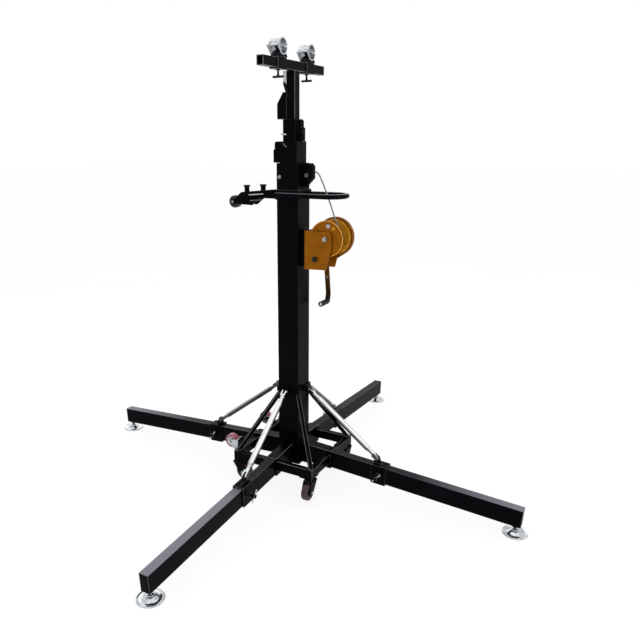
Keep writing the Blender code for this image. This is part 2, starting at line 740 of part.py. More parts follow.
def brace():
    """A chrome tube with a neck, a fork and a pin at each end, hanging along -Z from its upper pin."""
    length = math.dist(BRACE_TOP, BRACE_BOTTOM)
    shoulder = FORK_LENGTH + BRACE_NECK_LENGTH
    made = rod((0, 0, -shoulder), (0, 0, shoulder - length), BRACE_RADIUS, ROUND)
    slot_half = LUG_THICK / 2 + PIN_FIT
    tools, slots, pins = [], [], []
    for sign, pin_z in ((-1, 0), (1, -length)):
        root = pin_z + sign * FORK_LENGTH
        neck_low, neck_high = root - sign * 0.002, pin_z + sign * (shoulder + 0.002)
        tools.append(rod((0, 0, neck_low), (0, 0, neck_high), BRACE_NECK, ROUND))
        first = 0 if sign < 0 else math.pi
        nose = arc((0, pin_z), FORK_ROUND, first, first + math.pi, NOSE_STEPS)
        outline = nose + [(nose[-1][0], root), (nose[0][0], root)]
        tools.append(plate(outline, -FORK_WIDTH / 2, FORK_WIDTH / 2))
        reach = pin_z + sign * (LUG_ROUND + FORK_ROOM)
        low, high = sorted((pin_z - sign * 2 * FORK_ROUND, reach))
        slots.append(block((-2 * FORK_ROUND, -slot_half, low), (2 * FORK_ROUND, slot_half, high)))
        end = FORK_WIDTH / 2 + AXLE_END
        pins.append(rod((0, -end, pin_z), (0, end, pin_z), BRACE_PIN))
    return join(cut(join(made, *tools), *slots), *pins)


def wheel(radius, width):
    """A tyre on a hub, about Z, bored for its axle."""
    half, hub_half = width / 2, width / 2 + 0.002
    bore = WHEEL_AXLE + PIN_FIT
    side = [(bore, hub_half), (0.34 * radius, hub_half), (0.38 * radius, half - 0.004)]
    side += [(0.70 * radius, half - 0.001), (0.90 * radius, half), (radius, 0.55 * half)]
    return turned(side + [(r, -z) for r, z in reversed(side)], closed=True)


def fork(wheel_radius, wheel_width, trail, height):
    """A wheel's fork about Z: a swivel head at the top, two cheeks and an axle at (0, -trail, -height)."""
    inner = wheel_width / 2 + 0.002 + TUBE_FIT
    outer = inner + FORK_PLATE
    crown = -height + wheel_radius + 0.004
    low = arc((-trail, -height), CASTER_AXLE_ROUND, math.radians(170), math.radians(350), NOSE_STEPS)
    root, half = crown + FORK_PLATE / 2, SWIVEL_RADIUS - PIN_FIT
    outline = [(-half, root)] + low + [(half, root)]
    cheeks = [plate(outline, inner, outer, "X"), plate(outline, -outer, -inner, "X")]
    across = outer + PIN_FIT
    top = block((-across, -SWIVEL_RADIUS, crown), (across, SWIVEL_RADIUS, crown + FORK_PLATE))
    head = rod((0, 0, crown + FORK_PLATE / 2), (0, 0, 0), SWIVEL_RADIUS, ROUND)
    axle = rod((-outer - 0.003, -trail, -height), (outer + 0.003, -trail, -height), WHEEL_AXLE)
    return join(head, top, *cheeks, axle)


def side_fork():
    """A plate on the base frame's -X face with two cheeks and an axle; its origin is on the axle."""
    inner = WHEEL_WIDTH / 2 + 0.002 + TUBE_FIT
    outer = inner + FORK_PLATE
    face = SIDE_WHEEL_OUT - GAP
    low, high = FRAME_BOTTOM - SIDE_WHEEL_Z, SIDE_PLATE_TOP - SIDE_WHEEL_Z
    back = block((face - FORK_PLATE, -outer, low), (face, outer, high))
    nose = arc((0, 0), 0.011, math.radians(90), math.radians(270), NOSE_STEPS)
    outline = nose + [(face - 0.001, low + 0.006), (face - 0.001, high - 0.002)]
    cheeks = [plate(outline, inner, outer), plate(outline, -outer, -inner)]
    axle = rod((0, -outer - 0.003, 0), (0, outer + 0.003, 0), WHEEL_AXLE)
    return join(back, *cheeks, axle)


def tow_handle():
    """A band round the mast with a bent tube loop on +X."""
    half = MAST_HALF + GAP + TOW_WALL
    inside = MAST_HALF + GAP
    low, high = TOW_BOTTOM, TOW_BOTTOM + TOW_HEIGHT
    band = cut(
        block((-half, -half, low), (half, half, high)),
        block((-inside, -inside, low - 0.01), (inside, inside, high + 0.01)),
    )
    side = half + LOOP_TUBE - 0.0015
    bend = LOOP_REACH - side
    turn = arc((bend, 0), side, math.radians(-90), math.radians(90), 16)
    route = [(-half + LOOP_TUBE, -side), *turn, (-half + LOOP_TUBE, side)]
    return join(band, pipe([(x, y, LOOP_HEIGHT) for x, y in route], LOOP_TUBE, 3))


def transport_arm():
    """Two cheeks on the band's -X side that carry the top wheel, with a bridge plate and two posts."""
    inner = TOP_WHEEL_WIDTH / 2 + 0.002 + TUBE_FIT
    outer = inner + ARM_PLATE
    start = MAST_HALF + TOW_WALL + 2 * GAP
    top = TOW_BOTTOM + TOW_HEIGHT
    end, end_top = ARM_BRIDGE_END, top - ARM_FALL
    nose = arc((-TOP_WHEEL_REACH, TOP_WHEEL_Z), ARM_NOSE, math.radians(80), math.radians(275), NOSE_STEPS)
    outline = [(-start, top), (-end, end_top), *nose, (-end + ARM_HEEL, TOW_BOTTOM - ARM_DEEP)]
    outline += [(-0.5 * (start + end), TOW_BOTTOM), (-start, TOW_BOTTOM)]
    cheeks = [plate(outline, inner, outer), plate(outline, -outer, -inner)]
    back = block((-start - ARM_PLATE, -outer, TOW_BOTTOM), (-start, outer, top))
    bridge_outline = [(-start, top), (-end, end_top), (-end, end_top - ARM_PLATE), (-start, top - ARM_PLATE)]
    bridge = plate(bridge_outline, -outer, outer)
    posts = []
    for place in POST_PLACES:
        foot_z = top - ARM_FALL * (place - start) / (end - start)
        posts.append(rod((-place, 0, foot_z - 0.003), (-place, 0, foot_z + POST_HEIGHT), POST_RADIUS))
    ends = outer + 0.003
    axle = rod((-TOP_WHEEL_REACH, -ends, TOP_WHEEL_Z), (-TOP_WHEEL_REACH, ends, TOP_WHEEL_Z), WHEEL_AXLE)
    return join(back, bridge, *cheeks, *posts, axle)


def square_tube(length, width, height, wall):
    """A rectangular tube along Y about the origin, open at both ends."""
    outer = block((-width / 2, -length / 2, -height / 2), (width / 2, length / 2, height / 2))
    a, b = width / 2 - wall, height / 2 - wall
    return cut(outer, block((-a, -length, -b), (a, length, b)))


def carriage():
    """A sleeve that slides on the head bar, with the screw's boss below; its origin is on the bar's axis."""
    wide = BAR_WIDTH + 2 * (CARRIAGE_FIT + CARRIAGE_WALL)
    high = BAR_HEIGHT + 2 * (CARRIAGE_FIT + CARRIAGE_WALL)
    sleeve = square_tube(CARRIAGE_LENGTH, wide, high, CARRIAGE_WALL)
    boss = rod((0, 0, -high / 2 - 0.004), (0, 0, -high / 2 + 0.001), 2 * HANDLE_STEM)
    hole = rod((0, 0, -high), (0, 0, -BAR_HEIGHT / 2), HANDLE_STEM + PIN_FIT)
    return cut(join(sleeve, boss), hole)


def handle_screw():
    """A T-handle screw about Z, from its tip down to its cross bar."""
    drop = CARRIAGE_FIT + CARRIAGE_WALL + 0.004 + HANDLE_DROP
    stem = rod((0, 0, 0), (0, 0, -drop), HANDLE_STEM)
    neck = rod((0, 0, -drop), (0, 0, -drop + 0.010), 1.7 * HANDLE_STEM, SMALL_ROUND, HANDLE_STEM)
    cross = rod((-HANDLE_LENGTH / 2, 0, -drop), (HANDLE_LENGTH / 2, 0, -drop), HANDLE_RADIUS, 10)
    return join(stem, neck, cross)


def half_ring(first, last):
    """Half of a coupler's ring about X, between two angles, as a bent plate about the origin."""
    outline = arc((0, 0), COUPLER_OUTER, first, last, 14) + arc((0, 0), COUPLER_BORE, last, first, 14)
    return plate(outline, -COUPLER_LENGTH / 2, COUPLER_LENGTH / 2, "X")


def coupler_hinge():
    """Where a coupler's jaw turns, from the middle of its bore, as (y, z)."""
    return -(COUPLER_OUTER + COUPLER_KNUCKLE), 0


def coupler_saddle():
    """The lower half of a coupler on its pad, with two hinge knuckles, a pin and a bolt lug."""
    split = math.asin(COUPLER_SPLIT / 2 / COUPLER_BORE)
    ring = half_ring(math.pi + split, math.tau - split)
    pad_low = -COUPLER_OUTER - COUPLER_PAD
    pad_half = COUPLER_LENGTH / 2 - 0.004
    pad = block((-pad_half, -0.020, pad_low), (pad_half, 0.020, -COUPLER_BORE - COUPLER_WALL / 2))
    y, z = coupler_hinge()
    sixth = COUPLER_LENGTH / 6
    tools = [pad]
    into_ring = -COUPLER_BORE - COUPLER_WALL / 2
    web = [(y - 0.002, z - COUPLER_KNUCKLE + 0.001), (into_ring, -0.016), (into_ring, -0.004)]
    web.append((y + 0.003, z - 0.003))
    for low in (-3 * sixth + 2 * GAP, sixth + 2 * GAP):
        high = low + 2 * sixth - 4 * GAP
        tools.append(rod((low, y, z), (high, y, z), COUPLER_KNUCKLE))
        tools.append(plate(web, low + GAP, high - GAP, "X"))
    ear_half = COUPLER_LENGTH / 4
    ear = block((-ear_half, COUPLER_OUTER - 0.003, -0.016), (ear_half, COUPLER_OUTER + 0.014, -COUPLER_SPLIT))
    made = join(ring, *tools, ear)
    clear = COUPLER_KNUCKLE + PIN_FIT
    room = rod((-sixth - GAP, y, z), (sixth + GAP, y, z), clear)
    ends = COUPLER_LENGTH / 2 + 0.002
    return join(cut(made, room), rod((-ends, y, z), (ends, y, z), COUPLER_PIN))


def coupler_jaw():
    """The upper half of a coupler; its origin is on the hinge."""
    split = math.asin(COUPLER_SPLIT / 2 / COUPLER_BORE)
    ring = half_ring(split, math.pi - split)
    y, z = coupler_hinge()
    sixth = COUPLER_LENGTH / 6 - GAP
    knuckle = rod((-sixth, y, z), (sixth, y, z), COUPLER_KNUCKLE)
    into_ring = -COUPLER_BORE - COUPLER_WALL / 2
    web = [(y - 0.001, z + COUPLER_KNUCKLE - 0.001), (y + 0.003, z + 0.003)]
    web += [(into_ring, 0.004), (into_ring, 0.014)]
    ear_half = COUPLER_LENGTH / 4
    ear = block((-ear_half, COUPLER_OUTER - 0.003, COUPLER_SPLIT), (ear_half, COUPLER_OUTER + 0.014, 0.011))
    made = join(ring, knuckle, plate(web, GAP - sixth, sixth - GAP, "X"), ear)
    hole = rod((-COUPLER_LENGTH, y, z), (COUPLER_LENGTH, y, z), COUPLER_PIN + PIN_FIT)
    made = cut(made, hole)
    made.data.transform(Matrix.Translation((0, -y, -z)))
    return made


def head_strap():
    """A bent flat bar on the fourth tube's front face, up to the head bar."""
    half = STRAP_WIDTH / 2
    top = BAR_BOTTOM - GAP
    corner = TOP_TUBE_SIDE / 2
    low_x, high_x = -0.5 * corner, -corner - 1.1 * half
    foot_z, bend_z = top - 0.096, top - 0.046
    outline = [(low_x + half, foot_z), (high_x + half, bend_z), (high_x + half, top)]
    outline += [(high_x - half, top), (high_x - half, bend_z - 0.4 * half), (low_x - half, foot_z)]
    front = -corner - GAP
    return plate(outline, front - STRAP_THICK, front)


def gear_outline(teeth, tooth_angle):
    """A spur gear's outline with straight-flanked teeth, one of them centred on an angle."""
    pitch = GEAR_MODULE * teeth / 2
    tip = pitch + TOOTH_ADDENDUM * GEAR_MODULE
    root = pitch - TOOTH_DEDENDUM * GEAR_MODULE
    tip_half = TOOTH_TIP_HALF * GEAR_MODULE / tip
    root_half = TOOTH_ROOT_HALF * GEAR_MODULE / root
    outline = []
    for tooth in range(teeth):
        middle = tooth_angle + math.tau * tooth / teeth
        for radius, offset in ((root, -root_half), (tip, -tip_half), (tip, tip_half), (root, root_half)):
            outline.append((radius * math.cos(middle + offset), radius * math.sin(middle + offset)))
    return outline


def winch_frame():
    """A folded plate: a back on the mast's channel and two side plates that carry the drum and the pinion."""
    inner, outer = WINCH_INSIDE / 2, PLATE_OUT
    start = MAST_HALF + WINCH_STANDOFF + GAP
    corner = arc((DRUM_X + 0.010, WINCH_TOP - 0.016), 0.016, 0, math.radians(90), 5)
    outline = [(start, WINCH_BOTTOM), (DRUM_X + 0.002, WINCH_BOTTOM + 0.003)]
    outline += [(DRUM_X + 0.026, WINCH_BOTTOM + 0.090), *corner, (start, WINCH_TOP)]
    back = block((start, -outer, WINCH_BOTTOM), (start + WINCH_PLATE, outer, WINCH_TOP))
    frame = join(back, plate(outline, inner, outer), plate(outline, -outer, -inner))
    run = DRUM_AXLE + PIN_FIT
    shafts = ((DRUM_X, DRUM_Z), (PINION_X, PINION_Z))
    holes = [rod((x, -2 * outer, z), (x, 2 * outer, z), run) for x, z in shafts]
    return cut(frame, *holes)


def teardrop(big, small):
    """The outline of a belt round the drum's axle and the pinion's, with these radii."""
    lean = math.acos((big - small) / CENTRES)
    round_drum = arc((DRUM_X, DRUM_Z), big, PINION_ANGLE + lean, PINION_ANGLE + math.tau - lean, 28)
    round_pinion = arc((PINION_X, PINION_Z), small, PINION_ANGLE - lean, PINION_ANGLE + lean, 10)
    return round_drum + round_pinion


def gear_cover():
    """A shallow dish over the gears, on the outside of the far side plate."""
    start = PLATE_OUT + GAP
    dish = plate(teardrop(COVER_RADIUS + COVER_WALL, PINION_COVER + COVER_WALL), start, COVER_OUT)
    room = plate(teardrop(COVER_RADIUS, PINION_COVER), start - 0.01, COVER_OUT - COVER_WALL)
    hole = rod((PINION_X, start, PINION_Z), (PINION_X, COVER_OUT + 0.01, PINION_Z), DRUM_AXLE + PIN_FIT)
    return cut(dish, room, hole)


def winch_drum():
    """Barrel, flanges, axle, gear and the axle's near bolt head; the origin is on the axle."""
    half = WINCH_INSIDE / 2 - DRUM_SIDE_GAP
    inside = half - DRUM_PLATE
    far, near = GEAR_START + GEAR_FACE, -PLATE_OUT - 0.003
    profile = [(0, far), (DRUM_AXLE, far), (DRUM_AXLE, half), (DRUM_FLANGE, half), (DRUM_FLANGE, inside)]
    profile += [(DRUM_CORE, inside), (DRUM_CORE, -inside), (DRUM_FLANGE, -inside), (DRUM_FLANGE, -half)]
    barrel = aimed(turned(profile + [(DRUM_AXLE, -half), (DRUM_AXLE, near), (0, near)]), (0, 1, 0))
    half_tooth = math.pi / GEAR_TEETH
    gear = plate(gear_outline(GEAR_TEETH, PINION_ANGLE + half_tooth), GEAR_START, GEAR_START + GEAR_FACE)
    bolt = rod((0, -PLATE_OUT - GAP, 0), (0, -PLATE_OUT - 0.007, 0), 1.4 * DRUM_AXLE, 6)
    return join(barrel, gear, bolt)


def crank_end():
    """The middle of the crank arm's outer end, from the pinion's axis."""
    across, up = -CRANK_LENGTH * math.sin(CRANK_HANG), -CRANK_LENGTH * math.cos(CRANK_HANG)
    return Vector((across, crank_start() + CRANK_OFFSET, up))


def crank_start():
    return COVER_OUT + CRANK_THICK


def crank():
    """Pinion, shaft, offset arm and grip pin; the origin is on the pinion's axis."""
    start, end = Vector((0, crank_start(), 0)), crank_end()
    half, thin = CRANK_WIDTH / 2, CRANK_THICK / 2
    bends = [(start.y, 0), (start.y, -CRANK_STRAIGHT)]
    bends += [(end.y, CRANK_STRAIGHT - CRANK_LENGTH), (end.y, -CRANK_LENGTH)]
    outline = [(y + thin, z) for y, z in bends] + [(y - thin, z) for y, z in reversed(bends)]
    arm = plate(outline, -half, half, "X")
    arm.data.transform(Matrix.Rotation(CRANK_HANG, 4, "Y"))
    outward = Vector((0, 1, 0))
    near = -PLATE_OUT - 0.003
    shaft = rod((0, near, 0), start + thin * outward, DRUM_AXLE)
    pinion = plate(gear_outline(PINION_TEETH, PINION_ANGLE + math.pi), GEAR_START, GEAR_START + GEAR_FACE)
    bolt = rod((0, -PLATE_OUT - GAP, 0), (0, -PLATE_OUT - 0.007, 0), 1.4 * DRUM_AXLE, 6)
    hub = rod((0, COVER_OUT + PIN_FIT, 0), start + 1.6 * thin * outward, half, ROUND)
    tip = rod(end - 1.2 * thin * outward, end + 1.2 * thin * outward, half, ROUND)
    pin_end = end - (thin + GRIP_LENGTH + 2 * TUBE_FIT) * outward
    pin = rod(end, pin_end - 0.001 * outward, GRIP_PIN)
    stop = rod(pin_end, pin_end - 0.002 * outward, 1.5 * GRIP_PIN)
    return join(shaft, pinion, bolt, hub, arm, tip, pin, stop)


def crank_grip():
    """A sleeve that turns on the crank's pin, about Z from the arm's side."""
    bore = GRIP_PIN + PIN_FIT
    edge = 0.15 * GRIP_RADIUS
    outer = [(GRIP_RADIUS - edge, GRIP_LENGTH), (GRIP_RADIUS, GRIP_LENGTH - edge)]
    outer += [(0.9 * GRIP_RADIUS, GRIP_LENGTH / 2), (GRIP_RADIUS, edge), (GRIP_RADIUS - edge, 0)]
    return turned([(bore, GRIP_LENGTH), *outer, (bore, 0)], closed=True)


def winding_points():
    """The rope's outer layer on the drum's core, about the drum's axle, with straight ends."""
    width = WINDING_LOOPS * WINDING_PITCH
    points = []
    for i in range(WINDING_LOOPS * LOOP_POINTS + 1):
        turn = math.tau * i / LOOP_POINTS
        across = WINDING_PITCH * i / LOOP_POINTS - width / 2
        points.append(Vector((WINDING_RADIUS * math.cos(turn), across, WINDING_RADIUS * math.sin(turn))))
    first = points[0] + Vector((0, 0, -ROPE_DIAMETER))
    last = points[-1] + Vector((0, 0, ROPE_DIAMETER))
    return [first, *points, last]


def least_self_gap(points, apart):
    """The smallest clear distance between stretches of a tube that are at least some points apart."""
    least = min((a - b).length for i, a in enumerate(points) for b in points[i + apart:])
    return least - ROPE_DIAMETER


def smooth_route(route, step):
    """Points a step apart on a smooth curve through a route's own points."""
    route = [Vector(point) for point in route]
    reach = [0.0]
    for a, b in zip(route, route[1:]):
        reach.append(reach[-1] + (b - a).length)
    last = len(route) - 1
    slopes = []
    for i in range(last + 1):
        before, after = max(i - 1, 0), min(i + 1, last)
        slopes.append((route[after] - route[before]) / (reach[after] - reach[before]))
    count = round(reach[-1] / step)
    points, piece = [], 0
    for i in range(count + 1):
        here = reach[-1] * i / count
        while piece < last - 1 and here > reach[piece + 1]:
            piece += 1
        span = reach[piece + 1] - reach[piece]
        t = (here - reach[piece]) / span
        points.append(
            route[piece] * (2 * t**3 - 3 * t**2 + 1)
            + slopes[piece] * span * (t**3 - 2 * t**2 + t)
            + route[piece + 1] * (3 * t**2 - 2 * t**3)
            + slopes[piece + 1] * span * (t**3 - t**2)
        )
    return points


def rope_route():
    """From inside the mast over the head sheave, slack down to the drum and on round its winding."""
    sheave_x, sheave_z = sheave_place(0)
    over = arc((sheave_x, sheave_z), SHEAVE_BENDS[0], math.pi, ROPE_LEAVES_SHEAVE, 8)
    drum = arc((DRUM_X, DRUM_Z), ROPE_TOP_LAYER, ROPE_TOUCH, ROPE_TOUCH - ROPE_WRAP, 6)
    flat = [(sheave_x - SHEAVE_BENDS[0], ROPE_INLET), *over, *ROPE_SLACK, *drum]
    return [(x, 0, z) for x, z in flat]


clear_scene()
STAND = new_collection("crank_lighting_stand")
WORK = new_collection("work")
ROOT = empty("stand_origin")

BLACK = material("black_paint", (0.012, 0.012, 0.014), 0.38, 0.0)
CHROME = material("chrome", (0.80, 0.80, 0.81), 0.12, 1.0)
ZINC = material("bright_zinc", (0.72, 0.73, 0.74), 0.28, 1.0)
AMBER = material("amber_zinc", (0.72, 0.42, 0.07), 0.42, 0.7)
TYRE = material("dark_red_tyre", (0.16, 0.03, 0.03), 0.55, 0.0)
GRIP = material("black_plastic", (0.02, 0.02, 0.02), 0.5, 0.0)
ROPE = material("wire_rope", (0.45, 0.45, 0.46), 0.4, 1.0)

part("base_frame", base_frame(), BLACK)
part("outer_mast", outer_mast(), BLACK)
part("second_tube", inner_tube(1, -1), BLACK)
part("third_tube", inner_tube(2, 1), BLACK)
part("fourth_tube", top_tube(), BLACK)
sheave_faces = (("head_sheave", 1), ("second_sheave", -1), ("third_sheave", 1))
for index, (sheave_name, face_sign) in enumerate(sheave_faces):
    out, up = sheave_place(index)
    part(sheave_name, aimed(sheave(SHEAVE_BENDS[index]), (0, 1, 0)), ZINC, (face_sign * out, 0, up))

brace_turn = -math.atan2(BRACE_BOTTOM[0] - BRACE_TOP[0], BRACE_TOP[1] - BRACE_BOTTOM[1])
for side_name, degrees in SIDES.items():
    heading = math.radians(degrees)
    upright = empty(f"leg_place_{side_name}", (0, 0, 0), (0, 0, heading))
    line = empty(f"leg_line_{side_name}", (0, 0, LEG_AXIS_HEIGHT), (0, LEG_SLOPE, heading))
    upright.parent = line.parent = ROOT
    screw_side = SCREW_SIDE[side_name]
    screw_place = (COLLAR_REACH, screw_side * (LEG_WIDTH / 2 + GAP), 0)
    screw_turn = (-screw_side * math.pi / 2, 0, 0)
    part(f"leg_{side_name}", leg(), BLACK, parent=line)
    part(f"collar_{side_name}", collar(screw_side), BLACK, parent=line)
    part(f"lock_screw_{side_name}", lock_screw(), ZINC, screw_place, line, screw_turn)
    part(f"foot_{side_name}", foot(), ZINC, (FOOT_REACH, 0, 0), upright)
    part(f"brace_{side_name}", brace(), CHROME, (BRACE_TOP[0], 0, BRACE_TOP[1]), upright, (0, brace_turn, 0))

swivel_height = FRAME_BOTTOM - CORNER_PLATE_THICK - GAP
axle_drop = swivel_height - CASTER_CLEAR - WHEEL_RADIUS
for corner_name, (along, across) in CORNERS.items():
    swivel_x, swivel_y = along * (FRAME_HALF - CASTER_INSET), across * (FRAME_HALF - CASTER_INSET)
    heading = math.radians(CASTER_HEADING[corner_name])
    caster = fork(WHEEL_RADIUS, WHEEL_WIDTH, CASTER_TRAIL, axle_drop)
    swivel_place = Vector((swivel_x, swivel_y, swivel_height))
    part(f"caster_fork_{corner_name}", caster, BLACK, swivel_place, rotation=(0, 0, heading))
    trail = CASTER_TRAIL * Vector((math.sin(heading), -math.cos(heading), 0))
    axle_place = swivel_place + trail - Vector((0, 0, axle_drop))
    roller = aimed(wheel(WHEEL_RADIUS, WHEEL_WIDTH), (1, 0, 0))
    part(f"caster_wheel_{corner_name}", roller, TYRE, axle_place, rotation=(0, 0, heading))

for end_name, across in (("front", -1), ("rear", 1)):
    axle_place = (-FRAME_HALF - SIDE_WHEEL_OUT, across * SIDE_WHEEL_Y, SIDE_WHEEL_Z)
    part(f"side_fork_{end_name}", side_fork(), ZINC, axle_place)
    part(f"side_wheel_{end_name}", aimed(wheel(SIDE_WHEEL_RADIUS, WHEEL_WIDTH), (0, 1, 0)), TYRE, axle_place)

part("tow_handle", tow_handle(), BLACK)
part("transport_arm", transport_arm(), BLACK)
top_wheel = aimed(wheel(TOP_WHEEL_RADIUS, TOP_WHEEL_WIDTH), (0, 1, 0))
part("top_wheel", top_wheel, TYRE, (-TOP_WHEEL_REACH, 0, TOP_WHEEL_Z))

part("head_bar", square_tube(BAR_LENGTH, BAR_WIDTH, BAR_HEIGHT, BAR_WALL), BLACK, (0, 0, BAR_MIDDLE))
part("head_strap", head_strap(), ZINC)
hinge_y, hinge_z = coupler_hinge()
for end_name, across in (("front", -1), ("rear", 1)):
    place = across * CARRIAGE_PLACE
    part(f"carriage_{end_name}", carriage(), BLACK, (0, place, BAR_MIDDLE))
    part(f"carriage_screw_{end_name}", handle_screw(), BLACK, (0, place, BAR_BOTTOM - GAP))
    part(f"coupler_saddle_{end_name}", coupler_saddle(), ZINC, (0, place, COUPLER_Z))
    part(f"coupler_jaw_{end_name}", coupler_jaw(), ZINC, (0, place + hinge_y, COUPLER_Z + hinge_z))

part("winch_frame", winch_frame(), AMBER)
part("gear_cover", gear_cover(), AMBER)
part("winch_drum", winch_drum(), AMBER, (DRUM_X, 0, DRUM_Z))
part("crank", crank(), AMBER, (PINION_X, 0, PINION_Z))
grip_place = Vector((PINION_X, 0, PINION_Z)) + crank_end() - Vector((0, CRANK_THICK / 2 + TUBE_FIT, 0))
part("crank_grip", aimed(crank_grip(), (0, -1, 0)), GRIP, grip_place)
winding = winding_points()
part("rope_winding", pipe(winding, ROPE_RADIUS, 1), ROPE, (DRUM_X, 0, DRUM_Z))
print(f"winding: least gap to itself {1000 * least_self_gap(winding, LOOP_POINTS // 2):.2f} mm")
part("lifting_rope", pipe(smooth_route(rope_route(), ROPE_STEP), ROPE_RADIUS), ROPE)
bpy.data.collections.remove(WORK)
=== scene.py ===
"""Looks of the crank lighting stand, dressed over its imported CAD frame. Metres, +Z up, winch on +X."""

import json
import math

import bpy
from mathutils import Euler, Matrix, Vector


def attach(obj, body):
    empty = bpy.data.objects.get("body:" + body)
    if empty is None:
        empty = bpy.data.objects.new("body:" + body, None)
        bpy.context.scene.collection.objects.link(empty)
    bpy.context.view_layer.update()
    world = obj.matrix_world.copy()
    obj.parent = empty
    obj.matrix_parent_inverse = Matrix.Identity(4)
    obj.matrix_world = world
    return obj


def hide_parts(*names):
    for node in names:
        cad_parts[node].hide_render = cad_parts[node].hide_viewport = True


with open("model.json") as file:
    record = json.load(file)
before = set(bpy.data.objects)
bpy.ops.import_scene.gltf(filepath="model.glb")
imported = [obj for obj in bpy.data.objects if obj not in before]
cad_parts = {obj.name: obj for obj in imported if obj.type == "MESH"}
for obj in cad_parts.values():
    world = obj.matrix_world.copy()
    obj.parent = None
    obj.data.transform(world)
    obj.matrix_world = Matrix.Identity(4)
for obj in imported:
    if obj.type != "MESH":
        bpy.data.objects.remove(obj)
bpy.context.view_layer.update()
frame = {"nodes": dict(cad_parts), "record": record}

BODY_OF = {node: body for body, nodes in frame["record"]["behaviour"]["bodies"].items() for node in nodes}
SLOT_OF_NODE = {entry["node"]: entry["material_slot"] for entry in frame["record"]["subparts"]}
# Each leg's turn round the mast in degrees, and each head end's side of it
SIDES = {"right": 0, "rear": 90, "left": 180, "front": 270}
ENDS = {"front": -1, "rear": 1}

# Photo view: an eye-level camera in front of the stand and to its right
CAMERA_PLACE = (1.3386, -2.3765, 1.5049)
CAMERA_TURN = math.radians(29.982)
CAMERA_DROP = math.radians(16.02)
CAMERA_ROLL = math.radians(-0.355)
CAMERA_LENS = 36.191
CAMERA_SHIFT = (0.05109, 0.00743)

# The wire rope, on the route of its CAD solid: across and up, in the plane of the drum's middle
ROPE_DIAMETER = 0.0062
ROPE_LAY = 0.034
ROPE_STEP = 0.003
SHEAVE_CENTRE = (0.069, 1.3663)
SHEAVE_BEND = 0.026
DRUM_CENTRE = (0.174, 1.117)
ROPE_TOP_LAYER = 0.0508
ROPE_INLET = 1.330
ROPE_SLACK = [
    (0.116, 1.374), (0.137, 1.338), (0.155, 1.298), (0.171, 1.258), (0.192, 1.204), (0.2105, 1.160),
]
WINDING_RADIUS = 0.044476
WINDING_PITCH = 0.0064
WINDING_LOOPS = 9

# Places on the winch, from the CAD
FLANGE_PLANE = 0.0362
CLAMP_FACE = -0.0346
SHAFT_END = -0.0515
GEAR_COVER_FACE = 0.0458
PINION_CENTRE = (0.12918, 1.031992)
# Where a bright rivet stands for a highlight on the crank arm
CRANK_GLINT_RIVET = (0.1157, 0.0905, 0.931)
GRIP_CENTRE = (0.099951, 0.812933)
GRIP_ROOT = 0.1256
GRIP_END = 0.0606

# Places of the wheels, braces, feet and couplers, from the CAD
CASTERS = {
    "front_right": ((0.181, -0.205, 0.0525), (1, 0, 0)),
    "rear_right": ((0.181, 0.157, 0.0525), (1, 0, 0)),
    "rear_left": ((-0.181, 0.157, 0.0525), (1, 0, 0)),
    "front_left": ((-0.157, -0.181, 0.0525), (0, 1, 0)),
}
SIDE_ROLLER = (-0.243, 0.148, 0.170)
TOP_ROLLER = (-0.290, 0, 1.247)
COUPLER_PLACE = (0.115, 1.8458)
SADDLE_FOOT = 1.8162
LOCK_AXIS = (0.4302, 0.111)
LOCK_HEAD_RADIUS = 0.0096
FOOT_REACH = 1.004
BRACE_TOP, BRACE_FOOT = (0.081, 0, 0.4325), (0.414, 0, 0.178)
SEAT_PLATE_TOP = 0.115
# Height above which the base's long edges get the painted highlight
HIGHLIGHT_FROM = 0.151

# Angles between faces, in degrees: merged below FLAT, shaded smooth below SMOOTH, and broken as an edge
# above SHARP on drawn pieces and above CAD_SHARP on copies of CAD pieces
FLAT, SMOOTH, SHARP, CAD_SHARP = 0.5, 38, 30, 35


def linear(code):
    """An sRGB hex colour as linear red, green, blue and alpha."""
    parts = [int(code[i:i + 2], 16) / 255 for i in (1, 3, 5)]
    return (*[c / 12.92 if c <= 0.04045 else ((c + 0.055) / 1.055) ** 2.4 for c in parts], 1)


def add_node(tree, kind, settings=None, inputs=None):
    """A shader node with its settings; an input is a value, or an output socket to link."""
    made = tree.nodes.new(kind)
    for name, value in (settings or {}).items():
        setattr(made, name, value)
    for name, value in (inputs or {}).items():
        if isinstance(value, bpy.types.NodeSocket):
            tree.links.new(value, made.inputs[name])
        else:
            made.inputs[name].default_value = value
    return made


def per_metre(millimetres):
    """A pattern's scale for one feature in this many millimetres."""
    return 1000 / millimetres


